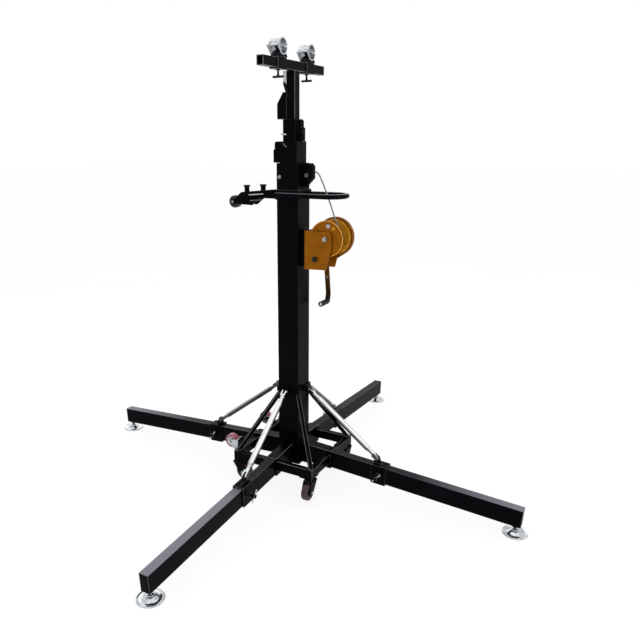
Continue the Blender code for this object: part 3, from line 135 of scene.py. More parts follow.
def finish(name, tones, drift_mm, roughness, grain_mm, depth_mm, metallic=0.0, specular=0.5):
    """A material whose tone drifts between two colours, with a wandering gloss and a fine bump."""
    made = bpy.data.materials.new(name)
    made.use_nodes = True
    tree = made.node_tree
    shader = tree.nodes["Principled BSDF"]
    shader.inputs["Metallic"].default_value = metallic
    shader.inputs["Specular IOR Level"].default_value = specular
    place = add_node(tree, "ShaderNodeTexCoord").outputs["Object"]
    drift = add_node(
        tree, "ShaderNodeTexNoise",
        inputs={"Vector": place, "Scale": per_metre(drift_mm), "Detail": 4, "Distortion": 0.4},
    ).outputs["Fac"]
    share = add_node(tree, "ShaderNodeMapRange", inputs={"Value": drift, "From Min": 0.3, "From Max": 0.7})
    share = share.outputs["Result"]
    tone = add_node(
        tree, "ShaderNodeMix", {"data_type": "RGBA"}, {0: share, 6: linear(tones[0]), 7: linear(tones[1])}
    )
    tree.links.new(tone.outputs[2], shader.inputs["Base Color"])
    gloss = add_node(
        tree, "ShaderNodeMapRange", inputs={"Value": share, "To Min": roughness[0], "To Max": roughness[1]}
    )
    tree.links.new(gloss.outputs["Result"], shader.inputs["Roughness"])
    grain = add_node(
        tree, "ShaderNodeTexNoise", inputs={"Vector": place, "Scale": per_metre(grain_mm), "Detail": 2}
    )
    bump = add_node(
        tree, "ShaderNodeBump",
        inputs={"Height": grain.outputs["Fac"], "Strength": 0.35, "Distance": depth_mm / 1000},
    )
    tree.links.new(bump.outputs["Normal"], shader.inputs["Normal"])
    return made, tree, shader, place, tone.outputs[2]


def facing_up(tree, low, high):
    """How far a surface faces up on its own piece: 0 where it faces below a limit, 1 above another."""
    facing = add_node(tree, "ShaderNodeTexCoord").outputs["Normal"]
    facing = add_node(tree, "ShaderNodeSeparateXYZ", inputs={"Vector": facing}).outputs["Z"]
    share = add_node(
        tree, "ShaderNodeMapRange", inputs={"Value": facing, "From Min": low, "From Max": high}
    )
    return share.outputs["Result"]


def painted_shade_below(tree, shader, tone, shade, low, high):
    """Paints shade on the sides of a plated piece that face down: a darker colour mixed in as the faces
    turn down.
    """
    tint = add_node(
        tree, "ShaderNodeMix", {"data_type": "RGBA"},
        {0: facing_up(tree, low, high), 6: linear(shade), 7: tone},
    )
    tree.links.new(tint.outputs[2], shader.inputs["Base Color"])


def black_enamel():
    # Sprayed black enamel on steel: deep blue-black with little sheen, a faint orange peel and sparse pale
    # specks of dust. The peel is 2 mm on the real one and drawn at 5 mm so that it shows.
    made, tree, shader, place, tone = finish(
        "sprayed_black_enamel", ("#020205", "#060609"), 160, (0.26, 0.38), 5, 0.04, specular=0.025
    )
    speck = add_node(
        tree, "ShaderNodeTexNoise", inputs={"Vector": place, "Scale": per_metre(7), "Detail": 6}
    )
    dust = add_node(
        tree, "ShaderNodeMapRange",
        inputs={"Value": speck.outputs["Fac"], "From Min": 0.70, "From Max": 0.80, "To Max": 0.5},
    )
    dusted = add_node(
        tree, "ShaderNodeMix", {"data_type": "RGBA"},
        {0: dust.outputs["Result"], 6: tone, 7: linear("#2c2c31")},
    )
    tree.links.new(dusted.outputs[2], shader.inputs["Base Color"])
    return made


def enamel_with_painted_sheen(name, sheen_colour, start, full):
    # Black enamel on the pull-out legs and the tow handle: black on the sides, with a cool grey painted
    # sheen on the upper faces, a painted reflection, which starts at one distance from the mast's foot and
    # is full at another.
    made, tree, shader, place, tone = finish(
        name, ("#020205", "#06060a"), 220, (0.26, 0.36), 6, 0.02, specular=0.025
    )
    reach = add_node(tree, "ShaderNodeVectorMath", {"operation": "LENGTH"}, {0: place}).outputs["Value"]
    outward = add_node(
        tree, "ShaderNodeMapRange",
        inputs={"Value": reach, "From Min": start, "From Max": full, "To Min": 0.10, "To Max": 1.0},
    )
    tint = add_node(
        tree, "ShaderNodeMath", {"operation": "MULTIPLY"},
        {0: facing_up(tree, 0.75, 0.98), 1: outward.outputs["Result"]},
    )
    sheened = add_node(
        tree, "ShaderNodeMix", {"data_type": "RGBA"},
        {0: tint.outputs["Value"], 6: tone, 7: linear(sheen_colour)},
    )
    tree.links.new(sheened.outputs[2], shader.inputs["Base Color"])
    return made


def enamel_painted_highlight():
    # Grey enamel with more shine, a painted highlight along black edges and on some small fittings.
    return finish(
        "enamel_grey_painted_highlight", ("#404046", "#646469"), 30, (0.26, 0.36), 4, 0.02, specular=0.3
    )[0]


def chrome_plate():
    # Polished chrome on drawn tube: near-mirror and cool, faintly clouded by handling, and darker on the
    # sides that face down, a painted shade.
    made, tree, shader, _, tone = finish(
        "polished_chrome", ("#c2c4c7", "#dcdee0"), 90, (0.08, 0.12), 6, 0.005, metallic=1.0
    )
    painted_shade_below(tree, shader, tone, "#42413d", 0.05, 0.62)
    return made


def bright_zinc():
    # Clear-passivated zinc on pressed steel: pale grey metal, satin, clouded by its crystals, and darker on
    # the sides that face down, a painted shade.
    made, tree, shader, _, tone = finish(
        "clear_zinc_plate", ("#a0a4a8", "#dcdfe1"), 22, (0.12, 0.24), 4, 0.02, metallic=1.0
    )
    painted_shade_below(tree, shader, tone, "#85888c", -0.60, 0.30)
    return made


def dipped_zinc():
    # Zinc on the bent strap beside the top tube, its lower end dipped in the mast's black enamel.
    made, tree, shader, place, tone = finish(
        "zinc_dipped_in_enamel", ("#a8a4a4", "#cfcbcb"), 20, (0.16, 0.28), 4, 0.02, metallic=1.0
    )
    height = add_node(tree, "ShaderNodeSeparateXYZ", inputs={"Vector": place}).outputs["Z"]
    bare = add_node(
        tree, "ShaderNodeMapRange", inputs={"Value": height, "From Min": 1.722, "From Max": 1.732}
    )
    dipped = add_node(
        tree, "ShaderNodeMix", {"data_type": "RGBA"},
        {0: bare.outputs["Result"], 6: linear("#1c1c21"), 7: tone},
    )
    tree.links.new(dipped.outputs[2], shader.inputs["Base Color"])
    return made


def amber_zinc():
    # Yellow-chromated zinc on the winch: amber gold with a soft gloss, rosy where the film is thick.
    made, tree, shader, place, tone = finish(
        "yellow_chromated_zinc", ("#764502", "#8a5304"), 45, (0.32, 0.46), 4, 0.02,
        metallic=0.35, specular=0.08,
    )
    tint = add_node(
        tree, "ShaderNodeTexNoise", inputs={"Vector": place, "Scale": per_metre(28), "Detail": 3}
    )
    thick = add_node(
        tree, "ShaderNodeMapRange",
        inputs={"Value": tint.outputs["Fac"], "From Min": 0.55, "From Max": 0.75, "To Max": 0.35},
    )
    rosy = add_node(
        tree, "ShaderNodeMix", {"data_type": "RGBA"},
        {0: thick.outputs["Result"], 6: tone, 7: linear("#8a4a18")},
    )
    tree.links.new(rosy.outputs[2], shader.inputs["Base Color"])
    return made


def amber_painted_lit():
    # The same plate drawn lighter, a painted light: a highlight on the winch's rims and edges, and the far
    # flange lit where it lies in shade. Pale gold with a metal shine.
    return finish(
        "chromate_painted_lit", ("#a86a08", "#c8902a"), 20, (0.20, 0.30), 3, 0.02, metallic=0.3, specular=0.2
    )[0]


def browned_zinc():
    # Heavy yellow chromate on the crank's forged bar: orange brown at the hub, and darker towards the
    # bottom.
    made, tree, shader, place, tone = finish(
        "browned_chromate_bar", ("#2c1f08", "#3e2b0c"), 30, (0.30, 0.42), 4, 0.02,
        metallic=0.4, specular=0.2,
    )
    height = add_node(tree, "ShaderNodeSeparateXYZ", inputs={"Vector": place}).outputs["Z"]
    towards_top = add_node(
        tree, "ShaderNodeMapRange", inputs={"Value": height, "From Min": 0.88, "From Max": 1.00}
    ).outputs["Result"]
    fading = add_node(
        tree, "ShaderNodeMix", {"data_type": "RGBA"}, {0: towards_top, 6: tone, 7: linear("#7a4a0c")}
    )
    tree.links.new(fading.outputs[2], shader.inputs["Base Color"])
    return made


def maroon_tread():
    # Cast polyurethane on the casters: dark maroon, waxy, dusty from the floor.
    return finish("cast_maroon_polyurethane", ("#251014", "#3a1a20"), 18, (0.38, 0.55), 3, 0.05)[0]


def rose_tread():
    # Cast polyurethane on the side rollers, which never touch the floor: clean rose red with a wet shine.
    return finish("cast_rose_polyurethane", ("#7c3546", "#9a5566"), 16, (0.20, 0.34), 3, 0.03)[0]


def black_nylon():
    # Moulded nylon wheel centres and grip: black, satin, finely textured.
    return finish(
        "moulded_black_nylon", ("#08080a", "#151517"), 18, (0.36, 0.50), 2.5, 0.06, specular=0.2
    )[0]


def wire_rope():
    # Galvanised stranded wire: grey metal, darker between the strands.
    return finish(
        "galvanised_wire_rope", ("#5c5f61", "#94969a"), 5, (0.34, 0.48), 1.5, 0.05, metallic=0.9
    )[0]


PAINT, HIGHLIGHT_GREY = black_enamel(), enamel_painted_highlight()
# The legs and the tow handle: grey on their upper faces, a painted sheen, full or faint from leg to leg
SHEEN_ALONG = enamel_with_painted_sheen("black_enamel_painted_sheen_along", "#74737c", 0.40, 0.56)
SHEEN_AT_TIP = enamel_with_painted_sheen("black_enamel_painted_sheen_at_tip", "#74737c", 0.60, 1.05)
SHEEN_FAINT = enamel_with_painted_sheen("black_enamel_faint_painted_sheen", "#222226", 0.40, 0.56)
LEG_FINISH = {"front": SHEEN_ALONG, "right": SHEEN_AT_TIP, "left": SHEEN_AT_TIP, "rear": SHEEN_FAINT}
CHROME, ZINC, STRAP, WIRE = chrome_plate(), bright_zinc(), dipped_zinc(), wire_rope()
AMBER, LIT_AMBER, BROWN = amber_zinc(), amber_painted_lit(), browned_zinc()
MAROON, ROSE, NYLON = maroon_tread(), rose_tread(), black_nylon()
FINISH_OF_SLOT = {
    "black_paint": PAINT, "chrome": CHROME, "bright_zinc": ZINC, "amber_zinc": AMBER,
    "red_tyre": MAROON, "black_plastic": NYLON, "wire_rope": WIRE,
}
SLOT_OF_FINISH = {material: slot for slot, material in FINISH_OF_SLOT.items()}
SLOT_OF_FINISH |= {material: "black_paint" for material in (*LEG_FINISH.values(), HIGHLIGHT_GREY)}
SLOT_OF_FINISH |= {STRAP: "bright_zinc", LIT_AMBER: "amber_zinc", BROWN: "amber_zinc", ROSE: "red_tyre"}
for node, slot in SLOT_OF_NODE.items():
    data = frame["nodes"][node].data
    data.materials.clear()
    data.materials.append(FINISH_OF_SLOT[slot])


def start_fresh():
    if bpy.context.mode != "OBJECT":
        bpy.ops.object.mode_set(mode="OBJECT")
    bpy.ops.object.select_all(action="DESELECT")


def take(piece):
    """Makes a piece the only selected and the active one."""
    start_fresh()
    piece.select_set(True)
    bpy.context.view_layer.objects.active = piece


def apply_place(piece):
    take(piece)
    bpy.ops.object.transform_apply(location=True, rotation=True, scale=True)


def apply_modifier(piece, kind, **settings):
    take(piece)
    made = piece.modifiers.new(kind.lower(), kind)
    for name, value in settings.items():
        setattr(made, name, value)
    bpy.ops.object.modifier_apply(modifier=made.name)


def rounded(piece, width_mm, segments=2, angle=SHARP, material=-1):
    """Breaks every edge sharper than an angle, with one of the piece's materials on the broken edge."""
    apply_modifier(
        piece, "BEVEL", width=width_mm / 1000, segments=segments, limit_method="ANGLE",
        angle_limit=math.radians(angle), material=material,
    )
    return piece


def combined(piece, operation, *others):
    """A piece with other shapes cut from it or fused to it, which are used up."""
    for other in others:
        apply_modifier(piece, "BOOLEAN", operation=operation, solver="EXACT", object=other)
        bpy.data.objects.remove(other, do_unlink=True)
    return piece


def cut(piece, *cutters):
    return combined(piece, "DIFFERENCE", *cutters)


def join(first, *others):
    """Several shapes as one piece."""
    take(first)
    for other in others:
        other.select_set(True)
    bpy.ops.object.join()
    return first


def copy_of(piece, turn):
    """A copy with its own mesh, moved by a matrix."""
    made = piece.copy()
    made.data = piece.data.copy()
    bpy.context.scene.collection.objects.link(made)
    made.data.transform(turn)
    return made


def box(low, high):
    start_fresh()
    low, high = Vector(low), Vector(high)
    bpy.ops.mesh.primitive_cube_add(size=1, location=(low + high) / 2)
    piece = bpy.context.object
    piece.scale = high - low
    apply_place(piece)
    return piece


def turned(profile, place, axis, sides=48):
    """A turned piece: a disc drawn up and scaled through (radius, height) steps in mm, laid on an axis."""
    start_fresh()
    radius, height = profile[0][0] / 1000, profile[0][1] / 1000
    bpy.ops.mesh.primitive_circle_add(
        vertices=sides, radius=radius, fill_type="NGON", location=(0, 0, height)
    )
    piece = bpy.context.object
    apply_place(piece)
    bpy.ops.object.mode_set(mode="EDIT")
    bpy.ops.mesh.select_all(action="SELECT")
    for next_radius, next_height in profile[1:]:
        next_radius, next_height = next_radius / 1000, next_height / 1000
        rise = (0, 0, next_height - height)
        bpy.ops.mesh.extrude_region_move(TRANSFORM_OT_translate={"value": rise})
        grow = next_radius / radius
        bpy.ops.transform.resize(value=(grow, grow, 1), center_override=(0, 0, next_height))
        radius, height = next_radius, next_height
    bpy.ops.mesh.select_all(action="SELECT")
    bpy.ops.mesh.normals_make_consistent(inside=False)
    bpy.ops.object.mode_set(mode="OBJECT")
    piece.rotation_euler = Vector(axis).to_track_quat("Z", "Y").to_euler()
    piece.location = place
    apply_place(piece)
    return piece


def rod(start, end, radius_mm, sides=24, edge_mm=0.6):
    """A round bar between two points with broken ends."""
    start, end = Vector(start), Vector(end)
    long, edge = (end - start).length * 1000, edge_mm
    profile = [(radius_mm - edge, 0), (radius_mm, edge), (radius_mm, long - edge), (radius_mm - edge, long)]
    return turned(profile, start, end - start, sides)


def hex_bolt(place, axis, across_mm, high_mm):
    """A hexagon head with a turned crown, on a washer."""
    outward = Vector(axis).normalized()
    washer = rod(place, Vector(place) + 0.0016 * outward, 0.74 * across_mm, 32, 0.3)
    half = across_mm / math.sqrt(3)
    profile = [(half, 0), (half, 0.74 * high_mm), (0.86 * half, high_mm), (0.55 * half, 1.03 * high_mm)]
    return join(washer, turned(profile, Vector(place) + 0.0014 * outward, axis, 6))


def drawn_curve(name, points):
    """A curve through points, to be given a section with closed ends."""
    data = bpy.data.curves.new(name, "CURVE")
    data.dimensions = "3D"
    data.use_fill_caps = True
    spline = data.splines.new("POLY")
    spline.points.add(len(points) - 1)
    for point, place in zip(spline.points, points):
        point.co = (*place, 1)
    curve = bpy.data.objects.new(name, data)
    bpy.context.scene.collection.objects.link(curve)
    return curve


def piped(points, radius_mm, resolution):
    """A round tube along points, as a mesh."""
    curve = drawn_curve("route", points)
    curve.data.bevel_depth = radius_mm / 1000
    curve.data.bevel_resolution = resolution
    return as_mesh(curve)


def as_mesh(curve):
    """A curve made a mesh, with its caps welded and its faces turned out."""
    take(curve)
    bpy.ops.object.convert(target="MESH")
    piece = bpy.context.object
    bpy.ops.object.mode_set(mode="EDIT")
    bpy.ops.mesh.select_all(action="SELECT")
    bpy.ops.mesh.remove_doubles(threshold=1e-6)
    bpy.ops.mesh.normals_make_consistent(inside=False)
    bpy.ops.object.mode_set(mode="OBJECT")
    return piece


def merged(node, *materials, above=0.0):
    """A copy of a CAD piece with its facets above a height merged, in its own finishes."""
    source = frame["nodes"][node]
    piece = source.copy()
    piece.data = source.data.copy()
    bpy.context.scene.collection.objects.link(piece)
    piece.parent = None
    piece.matrix_world = source.matrix_world.copy()
    apply_place(piece)
    bpy.ops.mesh.customdata_custom_splitnormals_clear()
    bpy.ops.object.mode_set(mode="EDIT")
    bpy.ops.mesh.select_all(action="SELECT")
    bpy.ops.mesh.remove_doubles(threshold=1e-5)
    bpy.ops.mesh.select_mode(type="FACE")
    bpy.ops.object.mode_set(mode="OBJECT")
    for face in piece.data.polygons:
        face.select = face.center.z > above
    bpy.ops.object.mode_set(mode="EDIT")
    bpy.ops.mesh.dissolve_limited(angle_limit=math.radians(FLAT))
    bpy.ops.mesh.select_mode(type="VERT")
    bpy.ops.object.mode_set(mode="OBJECT")
    piece.data.materials.clear()
    for material in materials:
        piece.data.materials.append(material)
    return piece


def softened(node, width_mm, material, edge_material, segments=2):
    """A copy of a CAD piece with its edges broken, the edges in their own finish."""
    return rounded(merged(node, material, edge_material), width_mm, segments, CAD_SHARP, 1)


def painted_highlight_along(piece, width_mm, shortest_mm, lowest):
    """Breaks only the long sharp edges of a piece above a height, with its second finish, a painted
    highlight, on them.
    """
    take(piece)
    bpy.ops.object.mode_set(mode="EDIT")
    bpy.ops.mesh.select_mode(type="EDGE")
    bpy.ops.mesh.select_all(action="DESELECT")
    bpy.ops.mesh.edges_select_sharp(sharpness=math.radians(CAD_SHARP))
    bpy.ops.object.mode_set(mode="OBJECT")
    points = piece.data.vertices
    for edge in piece.data.edges:
        first, last = (points[i].co for i in edge.vertices)
        long = (last - first).length > shortest_mm / 1000
        edge.select = edge.select and long and min(first.z, last.z) > lowest
    bpy.ops.object.mode_set(mode="EDIT")
    bpy.ops.mesh.bevel(
        offset=width_mm / 1000, segments=1, affect="EDGES", clamp_overlap=False, material=1
    )
    bpy.ops.mesh.select_mode(type="VERT")
    bpy.ops.object.mode_set(mode="OBJECT")
    return piece


def painted(piece, material):
    """One finish all over a piece."""
    piece.data.materials.clear()
    piece.data.materials.append(material)
    return piece


def settle(piece, name, body, *nodes):
    """Names a finished piece and hangs it on its body, in place of CAD nodes."""
    piece.name = piece.data.name = name
    take(piece)
    bpy.ops.object.shade_smooth_by_angle(angle=math.radians(SMOOTH))
    apply_modifier(piece, "WEIGHTED_NORMAL", keep_sharp=True)
    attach(piece, body)
    if nodes:
        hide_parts(*nodes)
    return piece


def side_turn(side):
    return Matrix.Rotation(math.radians(SIDES[side]), 4, "Z")


def dress_sawn_and_welded():
    """The frame's tubes, plates and forgings: the CAD shapes with broken edges, painted lighter as a
    highlight on black and amber.
    """
    edges_mm = {
        "outer_mast": 2.0, "second_tube": 1.6, "third_tube": 1.6, "fourth_tube": 1.6,
        "transport_arm": 1.8, "head_bar": 1.8, "winch_frame": 1.2, "gear_cover": 1.2,
    }
    edges_mm |= {f"collar_{side}": 1.6 for side in SIDES}
    edges_mm |= {f"caster_fork_{corner}": 0.8 for corner in CASTERS}
    for end in ENDS:
        edges_mm |= {f"side_fork_{end}": 0.8, f"carriage_{end}": 1.2}
        edges_mm |= {f"carriage_screw_{end}": 0.5, f"coupler_jaw_{end}": 0.8}
    # Edge finishes: grey enamel and lit amber paint a highlight; zinc stays zinc
    edge_finish = {PAINT: HIGHLIGHT_GREY, AMBER: LIT_AMBER, ZINC: ZINC}
    for node, width in edges_mm.items():
        material = FINISH_OF_SLOT[SLOT_OF_NODE[node]]
        settle(softened(node, width, material, edge_finish[material]), f"{node}_dressed", BODY_OF[node], node)
    # The base's low seat plates keep their facets, and its edges beside them stay sharp
    ring = merged("base_frame", PAINT, HIGHLIGHT_GREY, above=SEAT_PLATE_TOP)
    ring = painted_highlight_along(ring, width_mm=1.8, shortest_mm=60, lowest=HIGHLIGHT_FROM)
    settle(ring, "base_frame_dressed", "base", "base_frame")
    settle(softened("crank", 0.8, BROWN, BROWN), "crank_dressed", "crank_arm", "crank")
    strap = softened("head_strap", 0.6, STRAP, STRAP)
    settle(strap, "head_strap_dressed", BODY_OF["head_strap"], "head_strap")


def dress_two_tone():
    """Legs with a painted sheen on top, lock screws with a bare tommy bar, and coupler saddles on a painted
    foot.
    """
    across, up = LOCK_AXIS
    for side in SIDES:
        node = f"leg_{side}"
        # A painted sheen on the leg's top, and the grey painted highlight on its edges
        leg = softened(node, 4.0, LEG_FINISH[side], HIGHLIGHT_GREY, segments=3)
        settle(leg, f"{node}_dressed", BODY_OF[node], node)
        node = f"lock_screw_{side}"
        # The head's broken edges are zinc like the tommy bar: bright lines, a painted highlight
        screw = softened(node, 0.5, PAINT, ZINC)
        home = side_turn(side).inverted()
        for face in screw.data.polygons:
            middle = home @ face.center
            if math.hypot(middle.x - across, middle.z - up) > LOCK_HEAD_RADIUS:
                face.material_index = 1
        settle(screw, f"{node}_dressed", BODY_OF[node], node)
    for end in ENDS:
        node = f"coupler_saddle_{end}"
        saddle = softened(node, 0.8, ZINC, ZINC)
        saddle.data.materials.append(PAINT)
        for face in saddle.data.polygons:
            if face.center.z < SADDLE_FOOT:
                face.material_index = 2
        settle(saddle, f"{node}_dressed", BODY_OF[node], node)


def dress_feet():
    """Pressed zinc plates with a rolled rim and a domed boss, on a threaded stem."""
    profile = [
        (46, 0), (49.2, 0.4), (50, 1.2), (50, 5), (49, 6.6), (47.4, 7), (45.6, 6.2), (43.4, 3.8), (40, 3.2),
        (33, 3.6), (29, 5), (24.5, 9), (20, 12.8), (16.5, 14.6), (14, 15.4), (13.4, 17), (12.6, 19.2),
        (10.6, 20.4), (8.2, 20.8),
    ]
    threads, pitch = 30, 2
    for turn in range(threads):
        profile += [(7.0, 21.8 + pitch * turn), (8.0, 22.8 + pitch * turn)]
    profile += [(7.0, 82.4), (6.4, 83.4), (5, 84)]
    for side in SIDES:
        place = side_turn(side) @ Vector((FOOT_REACH, 0, 0))
        plate = painted(turned(profile, place, (0, 0, 1), 64), ZINC)
        settle(plate, f"foot_plate_{side}", f"pad_{side}", f"foot_{side}")


def dress_braces():
    """Chromed struts: a polished tube on thinner necks, with a forked and pinned end at each."""
    top = Vector(BRACE_TOP)
    along = Vector(BRACE_FOOT) - top
    long = along.length * 1000
    half = [
        (6.6, 22), (8.6, 24), (9, 25.6), (9, 38), (7.6, 38.8), (7.6, 41), (9.4, 42), (9.4, 50),
        (11.4, 51.2), (11.4, 55), (10.6, 55.8), (10.6, 57.2), (12.4, 58), (13, 60),
    ]
    profile = half + [(radius, long - reach) for radius, reach in reversed(half)]
    strut = turned(profile, (0, 0, 0), (0, 0, 1), 48)
    pin_long = 28
    pin_half = [(5.2, 0), (5.8, 0.5), (5.8, 2.4), (4, 2.6)]
    pin_profile = pin_half + [(radius, pin_long - reach) for radius, reach in reversed(pin_half)]
    wide, thick, gap = 0.0095, 0.011, 0.0045
    for reach, inward in ((0, 1), (along.length, -1)):
        near, far = sorted((reach, reach + inward * 0.025))
        fork = box((-wide, -thick, near), (wide, thick, far))
        nose = rod((0, -thick, reach), (0, thick, reach), 1000 * wide, 40, 0.3)
        fork = combined(fork, "UNION", nose)
        low, high = sorted((reach - inward * 0.02, reach + inward * 0.017))
        fork = rounded(cut(fork, box((-0.03, -gap, low), (0.03, gap, high))), 0.8)
        strut = join(strut, fork, turned(pin_profile, (0, -pin_long / 2000, reach), (0, 1, 0), 32))
    painted(strut, CHROME)
    lean = Matrix.Translation(top) @ Matrix.Rotation(math.atan2(along.x, along.z), 4, "Y")
    for side in SIDES:
        piece = copy_of(strut, side_turn(side) @ lean)
        settle(piece, f"chrome_brace_{side}", "base", f"brace_{side}")
    bpy.data.objects.remove(strut, do_unlink=True)


def dress_wheel(name, node, place, axis, radius, half, tread_material, hub_material):
    """A cast tread with rounded shoulders on a dished centre with a raised boss."""
    tread = [
        (0.66, -0.86), (0.70, -0.95), (0.78, -1.0), (0.90, -0.98), (0.965, -0.86), (0.99, -0.62), (1, -0.3),
        (1, 0.3), (0.99, 0.62), (0.965, 0.86), (0.90, 0.98), (0.78, 1.0), (0.70, 0.95), (0.66, 0.86),
    ]
    tyre = turned([(radius * r, half * z) for r, z in tread], place, axis, 64)
    settle(painted(tyre, tread_material), f"{name}_tread", BODY_OF[node], node)
    boss = half + 2
    hub = [(0.24 * radius, -boss), (0.30 * radius, -boss + 0.8), (0.33 * radius, -0.92 * half)]
    hub += [(0.40 * radius, -0.88 * half), (0.58 * radius, -0.90 * half), (0.64 * radius, -0.96 * half)]
    hub.append((0.67 * radius, -0.93 * half))
    hub += [(r, -z) for r, z in reversed(hub)]
    settle(painted(turned(hub, place, axis, 48), hub_material), f"{name}_hub", BODY_OF[node])


def dress_wheels():
    """Four maroon casters, two rose side rollers and the transport arm's roller, with their axle nuts."""
    for corner, (place, axis) in CASTERS.items():
        dress_wheel(f"caster_{corner}", f"caster_wheel_{corner}", place, axis, 37.5, 14, MAROON, NYLON)
        nuts = axle_nuts(place, axis, 0.0212, 9)
        settle(nuts, f"caster_axle_nuts_{corner}", f"swivel_{corner}")
    x, y, z = SIDE_ROLLER
    for end, sign in ENDS.items():
        place = (x, sign * y, z)
        dress_wheel(f"side_roller_{end}", f"side_wheel_{end}", place, (0, 1, 0), 32, 14, ROSE, ZINC)
        settle(axle_nuts(place, (0, 1, 0), 0.0212, 10), f"side_axle_nuts_{end}", "base")
    dress_wheel("top_roller", "top_wheel", TOP_ROLLER, (0, 1, 0), 27, 15, MAROON, NYLON)
    settle(axle_nuts(TOP_ROLLER, (0, 1, 0), 0.0232, 6.5), "top_axle_nuts", "base")


def axle_nuts(place, axis, out, across_mm):
    """A zinc nut at each end of an axle, this far from its middle."""
    along = Vector(axis)
    pair = [hex_bolt(Vector(place) + sign * out * along, sign * along, across_mm, 4.6) for sign in (-1, 1)]
    return painted(join(*pair), ZINC)


def dress_tow_handle():
    """A welded band round the mast and a bent tube loop."""
    low, high, out, inside = 1.268, 1.308, 0.0563, 0.0503
    band = cut(
        box((-out, -out, low), (out, out, high)),
        box((-inside, -inside, low - 0.01), (inside, inside, high + 0.01)),
    )
    band = rounded(band, 1.2)
    side, reach, height = 0.0648, 0.240, 1.2875
    bend = reach - side
    steps = [math.radians(-90 + 180 * i / 40) for i in range(41)]
    curve = [(bend + side * math.cos(t), side * math.sin(t), height) for t in steps]
    start = -out + 0.010
    loop = piped([(start, -side, height), *curve, (start, side, height)], 10, 6)
    # A painted sheen along the upper faces of the band and loop
    settle(painted(join(band, loop), SHEEN_ALONG), "tow_handle_loop", "base", "tow_handle")


def dress_drum():
    """Rolled flanges with holes, the far one and both rims in lit amber as painted light, the gear cover's
    lip, and the drum's bolts.
    """
    x, z = DRUM_CENTRE
    drum = softened("winch_drum", 0.3, AMBER, LIT_AMBER, 1)
    rolled = [(42, 1.6), (62, 1.6), (66, 1.0), (69, -0.6), (71.4, -1.5), (73, -1.3), (73.6, 0.2)]
    rolled += [(73.4, 2.4), (72.2, 3.4), (70, 3.6), (66, 3.4), (42, 3.4)]
    bead = [(72.2, -1.9), (73.4, -2.1), (74.2, -1.4), (74.4, 0.2), (74, 1.6), (72.2, 2)]
    # The far flange and the rims are drawn in lit amber: painted light
    for sign, face in ((-1, AMBER), (1, LIT_AMBER)):
        middle, inward = (x, sign * FLANGE_PLANE, z), (0, -sign, 0)
        flange = turned(rolled, middle, inward, 96)
        holes = [
            rod((across, sign * 0.025, up), (across, sign * 0.045, up), 5, 20, 0.1)
            for across, up in arc(DRUM_CENTRE, 0.056, 200, 335, 3)
        ]
        core = rod((x, sign * 0.02, z), (x, sign * 0.05, z), 70.5, 96, 0.1)
        rim = cut(turned(bead, middle, inward, 96), core)
        drum = join(drum, painted(cut(flange, *holes), face), painted(rim, LIT_AMBER))
    settle(drum, "winch_drum_dressed", "drum", "winch_drum")
    lip = turned([(79, 0), (81, 0.3), (81, 0.9), (79, 1.2)], (x, GEAR_COVER_FACE, z), (0, 1, 0), 96)
    lip = cut(lip, rod((x, 0.03, z), (x, 0.06, z), 30, 64, 0.1))
    settle(painted(lip, AMBER), "gear_cover_lip", "base")
    bolts = [
        hex_bolt((0.1809, CLAMP_FACE, 1.1684), (0, -1, 0), 12, 3.6),
        hex_bolt((x, SHAFT_END, z), (0, -1, 0), 14, 8),
    ]
    settle(painted(join(*bolts), ZINC), "drum_bolts", "drum")
    # The clamp stud is drawn in the same lit amber
    stud = painted(hex_bolt((0.2048, CLAMP_FACE, 1.1597), (0, -1, 0), 10, 3), LIT_AMBER)
    settle(stud, "drum_clamp_stud", "drum")


def dress_crank():
    """The nut on the pinion's shaft, a zinc rivet on the arm standing for a painted highlight, and the
    ribbed grip with its pin cap.
    """
    across, up = PINION_CENTRE
    profile = [(11, 0), (11.5, 0.5), (11.5, 3), (10, 3.6), (5.6, 3.6), (5, 5), (4.4, 5.4)]
    nut = painted(turned(profile, (across, SHAFT_END, up), (0, -1, 0), 32), NYLON)
    settle(nut, "pinion_shaft_nut", "crank_arm")
    # A zinc rivet where the arm shows a highlight: a painted glint
    profile = [(5.5, -2), (5.5, 1), (4.6, 2.4), (2.2, 3.2)]
    rivet = turned(profile, CRANK_GLINT_RIVET, (0, -1, -0.4), 32)
    settle(painted(rivet, ZINC), "crank_arm_glint_rivet", "crank_arm")
    profile = [(9.6, 0), (11.4, 0.6), (12, 2)]
    grooves, spacing = 9, 6
    for start in range(0, grooves * spacing, spacing):
        profile += [(12, 5.6 + start), (11.1, 6.6 + start), (11.1, 8 + start), (12, 9 + start)]
    profile += [(12, 62), (11.4, 63.4), (9.6, 64)]
    across, up = GRIP_CENTRE
    grip = painted(turned(profile, (across, GRIP_ROOT, up), (0, -1, 0), 40), NYLON)
    settle(grip, "ribbed_crank_grip", "grip", "crank_grip")
    profile = [(7.6, 0), (8, 0.6), (7.6, 2.2), (5.6, 3.6), (2.6, 4.3)]
    cap = turned(profile, (across, GRIP_END, up), (0, -1, 0), 32)
    settle(painted(cap, ZINC), "grip_pin_cap", "crank_arm")


